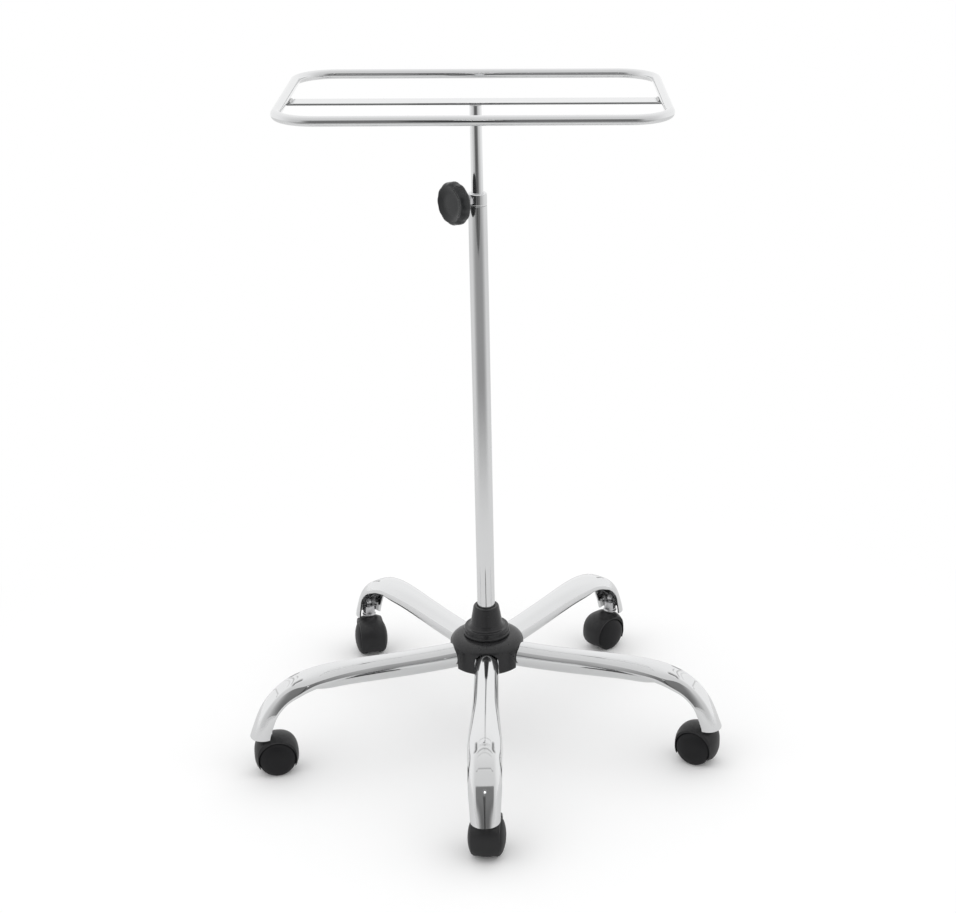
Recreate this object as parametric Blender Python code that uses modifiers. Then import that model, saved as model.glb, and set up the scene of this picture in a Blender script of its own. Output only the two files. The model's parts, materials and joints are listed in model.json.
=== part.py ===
"""Mayo instrument stand: a tray frame on a telescopic column over five castored legs.

Metres, +Z up. The floor is z = 0 and the middle of the footprint is x = y = 0. The front
leg points along -Y. Legs, their sockets and their castors repeat every 72 degrees.
"""
import math

import bmesh
import bpy
from mathutils import Matrix, Vector

MM = 0.001
GAP = 0.3 * MM                    # clearance between pieces that touch

# Tray frame
FRAME_WIDTH = 500 * MM            # outside of the ring, left to right
FRAME_DEPTH = 333 * MM            # outside of the ring, front to back
FRAME_TOP = 950 * MM              # top of the ring above the floor
FRAME_TUBE = 12.7 * MM            # diameter
FRAME_BEND = 52 * MM              # corner radius of the tube's centre line
BAR_WIDTH = 31.75 * MM
BAR_THICKNESS = 3.2 * MM
BAR_INSET = 2 * MM                # from the ring's outside to the bar's end
BAR_CORNER = 3 * MM
BAR_SEAT_DEPTH = 0.5 * MM         # pressed into the bar's ends, where the ring lies on it
BAR_SEAT_MARGIN = 3.5 * MM        # from the ring's inside to the edge of that seat
WELD_BEAD = 1.8 * MM              # radius of the bead between the bar and the ring
WELD_BEAD_INSET = 3.5 * MM        # from the bar's edges to the bead's ends
WELD_BEAD_TURN = math.radians(43)  # below level, seen from the tube's centre

# Mast and column
MAST_DIAMETER = 15.9 * MM
MAST_WALL = 1.5 * MM
MAST_LOWERING = 90 * MM           # how far the frame can be let down
MAST_STOP_GAP = 3 * MM            # left under the glide when it is down
MAST_WELD_WIDTH = 3 * MM          # fillet under the bar
MAST_WELD_HEIGHT = 2.5 * MM
GLIDE_PLUG = 18 * MM              # part of the glide inside the mast
GLIDE_FOOT = 12 * MM
COLUMN_DIAMETER = 25.4 * MM
COLUMN_WALL = 1.5 * MM
MAST_SHOWING = 151 * MM           # from the column's top to the ring's top
COLUMN_BOTTOM = 115 * MM
COLLAR_HEIGHT = 16.5 * MM
COLLAR_EDGE = 1.2 * MM
COLLAR_SPIGOT = 9 * MM
MAST_CLEARANCE = 0.25 * MM        # radial, in the collar and the bush
BUSH_LENGTH = 60 * MM
BORE_CLEARANCE = 0.15 * MM        # radial, of what sits in the column's bore

# Clamp knob
CLAMP_TURN = math.radians(-50)    # direction of the screw, from the front towards the left
SCREW_DIAMETER = 8 * MM
SCREW_CLEARANCE = 0.2 * MM
NUT_ACROSS_FLATS = 13 * MM
NUT_THICKNESS = 6.5 * MM
PAD_THICKNESS = 2 * MM
PAD_DIAMETER = 7.4 * MM
KNOB_RADIUS = 29 * MM
KNOB_LOBES = 12
KNOB_LOBE_DEPTH = 1.3 * MM
KNOB_THICKNESS = 15 * MM
KNOB_RIM = 5.5 * MM               # width of the rolled rim round the dished face
KNOB_DISH = 4.5 * MM
KNOB_HUB_RADIUS = 11 * MM
KNOB_HUB_LENGTH = 12 * MM
KNOB_STANDOFF = 1.0 * MM          # from the nut to the knob's hub
SCREW_IN_KNOB = 20 * MM

# Hub
HUB_RADIUS = 24 * MM              # to the middle of each of its five faces
HUB_BOTTOM = 115 * MM
HUB_TOP = 158 * MM
FOOT_LENGTH = 25 * MM
WASHER_RADIUS = 20 * MM
WASHER_THICKNESS = 2.5 * MM
BOLT_DIAMETER = 8 * MM
BOLT_HEAD_HEIGHT = 5.3 * MM
BOLT_LENGTH = 24 * MM

# Cover and boot
COVER_RADIUS = 52 * MM
COVER_WALL = 2.5 * MM
COVER_TOP = 163 * MM
COVER_BOTTOM = 121 * MM
COVER_FLAT = 33 * MM              # radius of the level top under the boot
COVER_DROP = 12 * MM              # from the level top to the start of the upright wall
COVER_TUCK = 2 * MM               # turned-in lower edge
ARCH_CLEARANCE = 0.8 * MM         # round each leg
BOOT_RING_RADIUS = 32.3 * MM
BOOT_RING_HEIGHT = 12.5 * MM
BOOT_RING_BEAD = 1 * MM           # how far the ring's foot stands out
BOOT_CONE_BASE = 23 * MM
BOOT_FLARE = 2.5 * MM             # of the cone's foot
BOOT_CONE_TOP = 18.6 * MM
BOOT_TOP = 208 * MM
BOOT_WALL = 2.5 * MM
BOOT_EDGE = 2.2 * MM

# Legs
LEG_COUNT = 5
LEG_WALL = 1.5 * MM
LEG_ROOT_TOP = 155 * MM
LEG_ROOT_WIDTH = 33.5 * MM
LEG_ROOT_DEPTH = 37 * MM
LEG_TIP_WIDTH = 40 * MM
LEG_TIP_DEPTH = 24 * MM
LEG_TIP_HEIGHT = 60 * MM
LEG_REACH = 352 * MM              # outside of the tip from the column's axis
LEG_NECK_WIDTH = 34 * MM
LEG_NECK_DEPTH = 36 * MM
LEG_SHOULDER_WIDTH = 43 * MM
LEG_SHOULDER_DEPTH = 32.5 * MM
LEG_SPREAD_WIDTH = 47 * MM
LEG_SPREAD_DEPTH = 23 * MM
LEG_PRESSED_WIDTH = 45 * MM
LEG_PRESSED_DEPTH = 16 * MM
LEG_SECTIONS = (                  # part of the way along, width and depth of the section
    (0.00, LEG_ROOT_WIDTH, LEG_ROOT_DEPTH),
    (0.30, LEG_NECK_WIDTH, LEG_NECK_DEPTH),
    (0.50, LEG_SHOULDER_WIDTH, LEG_SHOULDER_DEPTH),
    (0.62, LEG_SPREAD_WIDTH, LEG_SPREAD_DEPTH),
    (0.75, LEG_PRESSED_WIDTH, LEG_PRESSED_DEPTH),
    (0.86, LEG_PRESSED_WIDTH, LEG_PRESSED_DEPTH),
    (1.00, LEG_TIP_WIDTH, LEG_TIP_DEPTH),
)
LEG_BEND = ((0.56, -0.12), (0.86, 0.37))      # the crown line's two control points
LEG_STATIONS = 13
LEG_ARC_POINTS = 10
PRESS_START = 0.52                # along the leg, where the underside starts to be pressed in
PRESS_END = 0.78
PRESSED_WALL = 3.0 * MM           # the two skins pressed together
TUBE_END = 0.50                   # how far the tube is hollow

# Sockets and castors
STEM_INSET = 21 * MM              # from the outside of the leg's tip to the castor's stem
SOCKET_RADIUS = 9.3 * MM
SOCKET_HEIGHT = 17 * MM
SOCKET_FLANGE = 1.2 * MM          # how far its lower rim stands out
SOCKET_FLANGE_HEIGHT = 3 * MM
SOCKET_WEB_WIDTH = 5 * MM         # the lug by which it is welded to the leg
SOCKET_WEB_HEIGHT = 9 * MM
SOCKET_WEB_GAP = 1.5 * MM
STEM_DIAMETER = 10 * MM
STEM_CLEARANCE = 0.3 * MM
STEM_BALL = 9.8 * MM
STEM_DEPTH = 22 * MM              # into the hood
CASTOR_HEIGHT = 59.3 * MM         # from the floor to the socket
WHEEL_RADIUS = 26.3 * MM
WHEEL_TRAIL = 14.5 * MM           # from the stem's axis to the axle
WHEEL_HALF_TREAD = 15 * MM        # from the castor's middle to the tread's outer edge
WHEEL_HALF_WIDTH = 25.5 * MM      # and to the middle of the domed face
WHEEL_EDGE = 1.4 * MM             # rounding of the tread's inner edge
WHEEL_SIDES = 16
WEB_HALF = 7.5 * MM
WHEEL_SIDE_GAP = 1.0 * MM
AXLE_DIAMETER = 6 * MM
AXLE_CLEARANCE = 0.3 * MM
AXLE_HALF_LENGTH = 19 * MM
HOOD_RADIUS = 31.5 * MM
HOOD_WALL = 2.6 * MM
HOOD_CROWN = 4.0 * MM             # how much less its radius is at its sides than in the middle
HOOD_INNER_CROWN = 2.3 * MM       # the same on its inside
HOOD_CROWN_POWER = 2.2
HOOD_SQUARENESS = 3.2             # exponent of the corner on the stem's side
HOOD_HALF_WIDTH = 19 * MM
HOOD_LIP_HEIGHT = 12.5 * MM
HOOD_SIDES = 20
BOSS_HEIGHT = CASTOR_HEIGHT - GAP

# Direction in which each castor trails, turned from straight inwards to its leg's own frame
LEGS = {
    "front": 0,
    "right": 1,
    "rear_right": 2,
    "rear_left": 3,
    "left": 4,
}
CASTOR_HEADINGS = {
    "front": math.radians(-5),
    "right": math.radians(61),
    "rear_right": math.radians(130),
    "rear_left": math.radians(193),
    "left": math.radians(-79),
}

# Sizes that follow from the ones above
LEG_STEP = 2 * math.pi / LEG_COUNT
FRAME_HEIGHT = FRAME_TOP - FRAME_TUBE / 2
BAR_SEAT = FRAME_HEIGHT - FRAME_TUBE / 2 - GAP
BAR_TOP = BAR_SEAT + BAR_SEAT_DEPTH
MAST_TOP = BAR_TOP - BAR_THICKNESS - GAP
COLUMN_TOP = FRAME_TOP - MAST_SHOWING
MAST_BOTTOM = COLUMN_BOTTOM + FOOT_LENGTH + MAST_STOP_GAP + MAST_LOWERING + GLIDE_FOOT + GAP
MAST_RADIUS = MAST_DIAMETER / 2
COLUMN_RADIUS = COLUMN_DIAMETER / 2
COLUMN_BORE = COLUMN_RADIUS - COLUMN_WALL
GUIDE_BORE = MAST_RADIUS + MAST_CLEARANCE
COLLAR_BOTTOM = COLUMN_TOP + GAP
COLLAR_TOP = COLLAR_BOTTOM + COLLAR_HEIGHT
CLAMP_HEIGHT = COLLAR_BOTTOM + COLLAR_HEIGHT / 2
STEM_CIRCLE = LEG_REACH - STEM_INSET

PART = bpy.data.collections.new("mayo_stand")
CUTTERS = bpy.data.collections.new("cutters")


def clear_scene():
    """Removes what the scene holds and adds the part's two collections."""
    for obj in list(bpy.data.objects):
        bpy.data.objects.remove(obj)
    bpy.context.scene.collection.children.link(PART)
    bpy.context.scene.collection.children.link(CUTTERS)


def material(name, colour, roughness, metallic):
    """A Principled material of one colour."""
    made = bpy.data.materials.new(name)
    made.use_nodes = True
    shader = made.node_tree.nodes["Principled BSDF"]
    shader.inputs["Base Color"].default_value = (*colour, 1.0)
    shader.inputs["Roughness"].default_value = roughness
    shader.inputs["Metallic"].default_value = metallic
    return made


def mesh_object(name, mesh, collection=PART):
    """An object that shows a mesh."""
    obj = bpy.data.objects.new(name, mesh)
    collection.objects.link(obj)
    return obj


def mesh_from(name, vertices, edges=(), faces=()):
    """A mesh from its vertices and the edges or faces between them."""
    mesh = bpy.data.meshes.new(name)
    mesh.from_pydata(vertices, list(edges), list(faces))
    mesh.update()
    return mesh


def as_cutter(obj):
    """Marks an object as a tool that only cuts or joins."""
    for collection in obj.users_collection:
        collection.objects.unlink(obj)
    CUTTERS.objects.link(obj)
    obj.hide_render = True
    obj.display_type = "WIRE"
    return obj


def boolean(obj, tool, operation):
    """Cuts or joins with a tool by a live modifier."""
    modifier = obj.modifiers.new(operation.lower(), "BOOLEAN")
    modifier.operation = operation
    modifier.solver = "EXACT"
    modifier.object = tool


def baked(obj):
    """The mesh that an object shows, after which the object is gone."""
    depsgraph = bpy.context.evaluated_depsgraph_get()
    mesh = bpy.data.meshes.new_from_object(obj.evaluated_get(depsgraph))
    bpy.data.objects.remove(obj)
    return mesh


def finished(obj, finish, parent, smooth_angle=35):
    """Gives an object its finish, smooth shading and parent."""
    obj.data.materials.clear()
    obj.data.materials.append(finish)
    obj.data.shade_smooth()
    obj.data.set_sharp_from_angle(angle=math.radians(smooth_angle))
    obj.parent = parent
    return obj


def empty(name, parent, location=(0, 0, 0), turn=0.0):
    """An empty that carries pieces, turned about the vertical."""
    carrier = bpy.data.objects.new(name, None)
    PART.objects.link(carrier)
    carrier.parent = parent
    carrier.location = location
    carrier.rotation_euler = (0, 0, turn)
    return carrier


def turned(name, profile, sides, closed=True):
    """Turns a profile of (radius, height) pairs, listed down its outer side, about +Z."""
    vertices = [(radius, 0, height) for radius, height in profile]
    edges = [(i, i + 1) for i in range(len(profile) - 1)]
    if closed:
        edges.append((len(profile) - 1, 0))
    obj = mesh_object(name, mesh_from(name, vertices, edges))
    screw = obj.modifiers.new("turn", "SCREW")
    screw.steps = sides
    screw.render_steps = sides
    screw.use_merge_vertices = True
    screw.merge_threshold = 0.00001
    return obj


def rod(name, radius, bottom, top, sides):
    """A solid cylinder on the Z axis."""
    return turned(name, [(0, top), (radius, top), (radius, bottom), (0, bottom)], sides, closed=False)


def tube(name, outer, inner, bottom, top, sides):
    """A pipe on the Z axis."""
    return turned(name, [(outer, top), (outer, bottom), (inner, bottom), (inner, top)], sides)


def arc(centre, radius, start, end, steps):
    """Points on an arc, from one angle in degrees to another."""
    points = []
    for i in range(steps + 1):
        angle = math.radians(start + (end - start) * i / steps)
        points.append((centre[0] + radius * math.cos(angle), centre[1] + radius * math.sin(angle)))
    return points


def flat_outline(name, points, thickness):
    """A plate from a closed outline in XY, extruded to both sides of z = 0."""
    curve = bpy.data.curves.new(name, "CURVE")
    curve.dimensions = "2D"
    curve.fill_mode = "BOTH"
    curve.extrude = thickness / 2
    spline = curve.splines.new("POLY")
    spline.points.add(len(points) - 1)
    for point, (x, y) in zip(spline.points, points):
        point.co = (x, y, 0, 1)
    spline.use_cyclic_u = True
    obj = mesh_object(name, curve)
    mesh = baked(obj)
    welded = bmesh.new()
    welded.from_mesh(mesh)
    bmesh.ops.remove_doubles(welded, verts=welded.verts, dist=0.00001)
    bmesh.ops.recalc_face_normals(welded, faces=welded.faces)
    welded.to_mesh(mesh)
    welded.free()
    return mesh_object(name, mesh)


def rounded_rectangle(width, depth, radius, steps):
    """The outline of a rectangle with round corners, anticlockwise."""
    points = []
    for quarter, (sx, sy) in enumerate(((1, 1), (-1, 1), (-1, -1), (1, -1))):
        centre = (sx * (width / 2 - radius), sy * (depth / 2 - radius))
        points += arc(centre, radius, 90 * quarter, 90 * quarter + 90, steps)
    return points


def bezier(points, t):
    """A point of the Bezier curve with these control points."""
    while len(points) > 1:
        points = [a.lerp(b, t) for a, b in zip(points, points[1:])]
    return points[0]


def smoothstep(low, high, value):
    """Rises from 0 at low to 1 at high without a corner."""
    t = min(max((value - low) / (high - low), 0.0), 1.0)
    return t * t * (3 - 2 * t)


# Tray frame

def tray_ring(finish, parent):
    """The round tube bent into a closed rectangle."""
    path = rounded_rectangle(FRAME_WIDTH - FRAME_TUBE, FRAME_DEPTH - FRAME_TUBE, FRAME_BEND, 7)
    curve = bpy.data.curves.new("tray_ring", "CURVE")
    curve.dimensions = "3D"
    curve.bevel_depth = FRAME_TUBE / 2
    curve.bevel_resolution = 4
    spline = curve.splines.new("POLY")
    spline.points.add(len(path) - 1)
    for point, (x, y) in zip(spline.points, path):
        point.co = (x, y, 0, 1)
    spline.use_cyclic_u = True
    mesh = baked(mesh_object("tray_ring", curve))
    ring = mesh_object("tray_ring", mesh)
    ring.location.z = FRAME_HEIGHT
    return finished(ring, finish, parent)


def cross_bar(finish, parent):
    """The flat bar lapped under the ring's two sides, which carries it on the mast."""
    length = FRAME_WIDTH - 2 * BAR_INSET
    outline = rounded_rectangle(length, BAR_WIDTH, BAR_CORNER, 3)
    bar = flat_outline("cross_bar", outline, BAR_THICKNESS)
    bar.location.z = BAR_TOP - BAR_THICKNESS / 2
    seat_start = FRAME_WIDTH / 2 - FRAME_TUBE - BAR_SEAT_MARGIN
    seat = flat_outline("bar_seat", rounded_rectangle(2 * FRAME_TUBE, 2 * BAR_WIDTH, GAP, 1), BAR_THICKNESS)
    for side in (-1, 1):
        land = mesh_object("bar_seat", seat.data)
        land.parent = parent
        land.location = (side * (seat_start + FRAME_TUBE), 0, BAR_SEAT + BAR_THICKNESS / 2)
        boolean(bar, as_cutter(land), "DIFFERENCE")
    bpy.data.objects.remove(seat)
    reach = FRAME_TUBE / 2 + GAP + WELD_BEAD
    across = (FRAME_WIDTH - FRAME_TUBE) / 2 - reach * math.cos(WELD_BEAD_TURN)
    height = FRAME_HEIGHT - reach * math.sin(WELD_BEAD_TURN)
    half = BAR_WIDTH / 2 - WELD_BEAD_INSET
    for side in (-1, 1):
        bead = rod("weld_bead", WELD_BEAD, -half, half, 8)
        bead.parent = parent
        bead.matrix_local = Matrix.Translation((side * across, 0, height)) @ Matrix.Rotation(math.pi / 2, 4, "X")
        boolean(bar, as_cutter(bead), "UNION")
    return finished(bar, finish, parent)


def mast(finish, parent):
    """The inner tube, with the weld fillet that flares out under the bar."""
    bore = MAST_RADIUS - MAST_WALL
    weld = MAST_RADIUS + MAST_WELD_WIDTH
    profile = [
        (weld, MAST_TOP),
        (MAST_RADIUS + MAST_WELD_WIDTH * 0.3, MAST_TOP - MAST_WELD_HEIGHT * 0.5),
        (MAST_RADIUS, MAST_TOP - MAST_WELD_HEIGHT),
        (MAST_RADIUS, MAST_BOTTOM),
        (bore, MAST_BOTTOM),
        (bore, MAST_TOP),
    ]
    return finished(turned("mast", profile, 20), finish, parent)


def mast_glide(finish, parent):
    """The plastic foot plugged into the mast, which keeps it central in the column."""
    plug = MAST_RADIUS - MAST_WALL - GAP
    foot = COLUMN_BORE - BORE_CLEARANCE
    seat = MAST_BOTTOM - GAP
    profile = [
        (0, seat + GLIDE_PLUG),
        (plug, seat + GLIDE_PLUG),
        (plug, seat),
        (foot, seat),
        (foot, seat - GLIDE_FOOT),
        (0, seat - GLIDE_FOOT),
    ]
    return finished(turned("mast_glide", profile, 20, closed=False), finish, parent)


# Column

def column_tube(finish, parent):
    """The outer tube, from the hub to the collar."""
    obj = tube("column_tube", COLUMN_RADIUS, COLUMN_BORE, COLUMN_BOTTOM, COLUMN_TOP, 28)
    return finished(obj, finish, parent)


def column_collar(finish, parent):
    """The turned end ring, whose spigot sits in the column and whose wall takes the screw."""
    spigot = COLUMN_BORE - BORE_CLEARANCE
    profile = [
        (COLUMN_RADIUS - COLLAR_EDGE, COLLAR_TOP),
        (COLUMN_RADIUS, COLLAR_TOP - COLLAR_EDGE),
        (COLUMN_RADIUS, COLLAR_BOTTOM),
        (spigot, COLLAR_BOTTOM),
        (spigot, COLLAR_BOTTOM - COLLAR_SPIGOT),
        (GUIDE_BORE, COLLAR_BOTTOM - COLLAR_SPIGOT),
        (GUIDE_BORE, COLLAR_TOP - COLLAR_EDGE),
        (GUIDE_BORE + COLLAR_EDGE, COLLAR_TOP),
    ]
    collar = turned("column_collar", profile, 24)
    hole = rod("screw_hole", SCREW_DIAMETER / 2 + SCREW_CLEARANCE, MAST_RADIUS / 2, 2 * COLUMN_RADIUS, 12)
    hole.parent = parent
    hole.matrix_local = clamp_frame()
    boolean(collar, as_cutter(hole), "DIFFERENCE")
    return finished(collar, finish, parent)


def guide_bush(finish, parent):
    """The plastic sleeve under the collar in which the mast runs."""
    top = COLLAR_BOTTOM - COLLAR_SPIGOT - GAP
    obj = tube("guide_bush", COLUMN_BORE - BORE_CLEARANCE, GUIDE_BORE, top - BUSH_LENGTH, top, 20)
    return finished(obj, finish, parent)


# Clamp

def clamp_frame():
    """Turns +Z to the direction of the clamp screw, out of the column, at its height."""
    turn = Matrix.Rotation(CLAMP_TURN, 4, "Z") @ Matrix.Rotation(math.pi / 2, 4, "X")
    return Matrix.Translation((0, 0, CLAMP_HEIGHT)) @ turn


def clamp_nut(finish, parent):
    """The nut welded to the collar, which the screw runs in."""
    start = COLUMN_RADIUS + GAP
    corner = NUT_ACROSS_FLATS / 2 / math.cos(math.pi / 6)
    bore = SCREW_DIAMETER / 2 + SCREW_CLEARANCE
    nut = rod("clamp_nut", corner, start, start + NUT_THICKNESS, 6)
    hole = rod("nut_hole", bore, 0, 2 * (start + NUT_THICKNESS), 16)
    hole.parent = parent
    boolean(nut, as_cutter(hole), "DIFFERENCE")
    return finished(nut, finish, parent)


def clamp_pad(finish, parent):
    """The soft pad between the screw and the mast."""
    start = MAST_RADIUS + GAP
    return finished(rod("clamp_pad", PAD_DIAMETER / 2, start, start + PAD_THICKNESS, 12), finish, parent)


def clamp_screw(finish, parent):
    """The stud moulded into the knob."""
    start = MAST_RADIUS + 2 * GAP + PAD_THICKNESS
    end = knob_back() + SCREW_IN_KNOB - GAP
    return finished(rod("clamp_screw", SCREW_DIAMETER / 2, start, end, 16), finish, parent)


def knob_back():
    """Distance of the knob's hub from the column's axis."""
    return COLUMN_RADIUS + GAP + NUT_THICKNESS + KNOB_STANDOFF


def clamp_knob(finish, parent):
    """The fluted hand knob with a dished face, lofted from ring to ring."""
    back = knob_back() + KNOB_HUB_LENGTH
    front = back + KNOB_THICKNESS
    dish = KNOB_RADIUS - KNOB_RIM
    rings = [
        (0, knob_back(), 0),
        (KNOB_HUB_RADIUS, knob_back(), 0),
        (KNOB_HUB_RADIUS, back, 0),
        (KNOB_RADIUS * 0.92, back, 0.6),
        (KNOB_RADIUS, back + KNOB_THICKNESS * 0.2, 1),
        (KNOB_RADIUS, back + KNOB_THICKNESS * 0.65, 1),
        (KNOB_RADIUS * 0.95, front - KNOB_THICKNESS * 0.12, 0.9),
        (KNOB_RADIUS - KNOB_RIM * 0.8, front, 0.4),
        (dish, front - KNOB_DISH * 0.3, 0),
        (dish * 0.7, front - KNOB_DISH, 0),
        (0, front - KNOB_DISH * 0.8, 0),
    ]
    count = 3 * KNOB_LOBES
    vertices = []
    for radius, height, lobed in rings:
        if radius == 0:
            vertices.append((0, 0, height))
            continue
        for i in range(count):
            angle = 2 * math.pi * i / count
            wave = 0.5 - 0.5 * math.cos(KNOB_LOBES * angle)
            reach = radius - lobed * KNOB_LOBE_DEPTH * wave
            vertices.append((reach * math.cos(angle), reach * math.sin(angle), height))
    last = len(vertices) - 1
    faces = [(0, 1 + (i + 1) % count, 1 + i) for i in range(count)]
    for ring in range(len(rings) - 3):
        low = 1 + ring * count
        for i in range(count):
            j = (i + 1) % count
            faces.append((low + i, low + j, low + count + j, low + count + i))
    top = last - count
    faces += [(last, top + i, top + (i + 1) % count) for i in range(count)]
    knob = mesh_object("clamp_knob", mesh_from("clamp_knob", vertices, faces=faces))
    bore = SCREW_DIAMETER / 2 + GAP
    hole = rod("knob_hole", bore, 0, knob_back() + SCREW_IN_KNOB, 16)
    hole.parent = parent
    boolean(knob, as_cutter(hole), "DIFFERENCE")
    return finished(knob, finish, parent)


# Hub

def hub_core(finish, parent):
    """The five-sided block that the legs are welded to and the column stands in."""
    corner = HUB_RADIUS / math.cos(LEG_STEP / 2)
    core = rod("hub_core", corner, HUB_BOTTOM, HUB_TOP, LEG_COUNT)
    core.rotation_euler = (0, 0, LEG_STEP / 4)
    bore = rod("hub_bore", COLUMN_RADIUS + GAP, HUB_BOTTOM - HUB_RADIUS, HUB_TOP + HUB_RADIUS, 28)
    bore.parent = parent
    boolean(core, as_cutter(bore), "DIFFERENCE")
    return finished(core, finish, parent)


def column_foot(finish, parent):
    """The threaded plug in the foot of the column."""
    bore = BOLT_DIAMETER / 2 + SCREW_CLEARANCE
    obj = tube("column_foot", COLUMN_BORE - BORE_CLEARANCE, bore, COLUMN_BOTTOM, COLUMN_BOTTOM + FOOT_LENGTH, 20)
    return finished(obj, finish, parent)


def base_washer(finish, parent):
    """The washer under the hub."""
    top = min(HUB_BOTTOM, COLUMN_BOTTOM) - GAP
    bore = BOLT_DIAMETER / 2 + SCREW_CLEARANCE
    obj = tube("base_washer", WASHER_RADIUS, bore, top - WASHER_THICKNESS, top, 20)
    return finished(obj, finish, parent)


def base_bolt(finish, parent):
    """The hexagon bolt that holds the column in the hub from below."""
    seat = min(HUB_BOTTOM, COLUMN_BOTTOM) - WASHER_THICKNESS - 2 * GAP
    corner = NUT_ACROSS_FLATS / 2 / math.cos(math.pi / 6)
    bolt = rod("base_bolt", corner, seat - BOLT_HEAD_HEIGHT, seat, 6)
    shank = rod("bolt_shank", BOLT_DIAMETER / 2, seat - BOLT_HEAD_HEIGHT / 2, seat + BOLT_LENGTH, 16)
    shank.parent = parent
    boolean(bolt, as_cutter(shank), "UNION")
    return finished(bolt, finish, parent)


def hub_cover(finish, parent):
    """The moulded bell over the hub, with an arch for each leg."""
    shoulder = COVER_TOP - COVER_DROP
    rise = COVER_RADIUS - COVER_FLAT
    dome = [(COVER_FLAT + rise * math.sin(a), shoulder + COVER_DROP * math.cos(a))
            for a in (math.radians(18 * i) for i in range(6))]
    inner_flat = COVER_FLAT - COVER_WALL
    inner = [(inner_flat + (COVER_RADIUS - COVER_FLAT) * math.sin(a),
              shoulder + (COVER_DROP - COVER_WALL) * math.cos(a))
             for a in (math.radians(90 - 30 * i) for i in range(4))]
    hole = COLUMN_RADIUS + GAP
    profile = [(hole, COVER_TOP)] + dome + [(COVER_RADIUS, COVER_BOTTOM + COVER_TUCK)]
    profile += [(COVER_RADIUS - COVER_TUCK / 2, COVER_BOTTOM)]
    profile += [(COVER_RADIUS - COVER_WALL, COVER_BOTTOM)] + inner + [(hole, COVER_TOP - COVER_WALL)]
    cover = turned("hub_cover", profile, 30)
    for index in range(LEG_COUNT):
        boolean(cover, leg_arch(index, parent), "DIFFERENCE")
    return finished(cover, finish, parent)


def leg_arch(index, parent):
    """The tool that cuts one leg's way through the cover's wall."""
    half = LEG_ROOT_WIDTH / 2 + ARCH_CLEARANCE
    spring = LEG_ROOT_TOP + ARCH_CLEARANCE - half
    below = COVER_BOTTOM - COVER_WALL
    outline = [(half, below)] + arc((0, spring), half, 0, 180, 8) + [(-half, below)]
    tool = flat_outline("leg_arch", outline, COVER_RADIUS)
    tool.parent = parent
    away = Matrix.Translation((0, -COVER_RADIUS, 0)) @ Matrix.Rotation(math.pi / 2, 4, "X")
    tool.matrix_local = Matrix.Rotation(index * LEG_STEP, 4, "Z") @ away
    return as_cutter(tool)


def column_boot(finish, parent):
    """The stepped cone that closes the gap between the cover and the column."""
    hole = COLUMN_RADIUS + GAP
    bottom = COVER_TOP + GAP
    step = bottom + BOOT_RING_HEIGHT
    outer = [(hole + BOOT_EDGE / 2, BOOT_TOP)]
    outer += arc((BOOT_CONE_TOP - BOOT_EDGE, BOOT_TOP - BOOT_EDGE), BOOT_EDGE, 90, 10, 2)
    outer += [(BOOT_CONE_BASE, step + 2 * BOOT_FLARE)]
    outer += [(BOOT_CONE_BASE + BOOT_FLARE, step + BOOT_FLARE / 3)]
    outer += arc((BOOT_RING_RADIUS - BOOT_EDGE, step - BOOT_EDGE), BOOT_EDGE, 80, 0, 2)
    outer += [(BOOT_RING_RADIUS, bottom + BOOT_RING_HEIGHT / 3)]
    outer += [(BOOT_RING_RADIUS + BOOT_RING_BEAD, bottom + BOOT_RING_HEIGHT / 4)]
    outer += [(BOOT_RING_RADIUS + BOOT_RING_BEAD, bottom)]
    inner = [
        (BOOT_RING_RADIUS - BOOT_WALL, bottom),
        (BOOT_RING_RADIUS - BOOT_WALL, step - BOOT_WALL),
        (BOOT_CONE_BASE - BOOT_WALL, step - BOOT_WALL),
        (BOOT_CONE_TOP - BOOT_WALL, BOOT_TOP - BOOT_WALL),
        (hole, BOOT_TOP - BOOT_WALL),
        (hole, BOOT_TOP - BOOT_EDGE / 2),
    ]
    return finished(turned("column_boot", outer + inner, 20), finish, parent)


# Legs

def crown_point(t):
    """A point of the crown line, as (reach, height)."""
    root = Vector((HUB_RADIUS + GAP, LEG_ROOT_TOP))
    tip = Vector((LEG_REACH, LEG_TIP_HEIGHT))
    span, drop = tip.x - root.x, root.y - tip.y
    pulls = [root + Vector((along * span, up * drop)) for along, up in LEG_BEND]
    return bezier([root, *pulls, tip], t)


def leg_size(t):
    """Width and depth of the leg along its length."""
    for (start, *before), (end, *after) in zip(LEG_SECTIONS, LEG_SECTIONS[1:]):
        if t <= end:
            part = (t - start) / (end - start)
            return [a + (b - a) * part for a, b in zip(before, after)]
    return LEG_SECTIONS[-1][1:]


def leg_upward(t):
    """The direction, in (reach, height), from a section's lower edge to its crown.

    It is square to the crown line, but upright at the hub and level at the tip, where the
    leg is cut off.
    """
    step = 0.001
    along = crown_point(min(t + step, 1)) - crown_point(max(t - step, 0))
    square = Vector((-along.y, along.x)).normalized()
    upright = Vector((0, 1)).lerp(square, smoothstep(0, 0.15, t))
    return upright.lerp(Vector((1, 0)), smoothstep(0.85, 1, t)).normalized()


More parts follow.
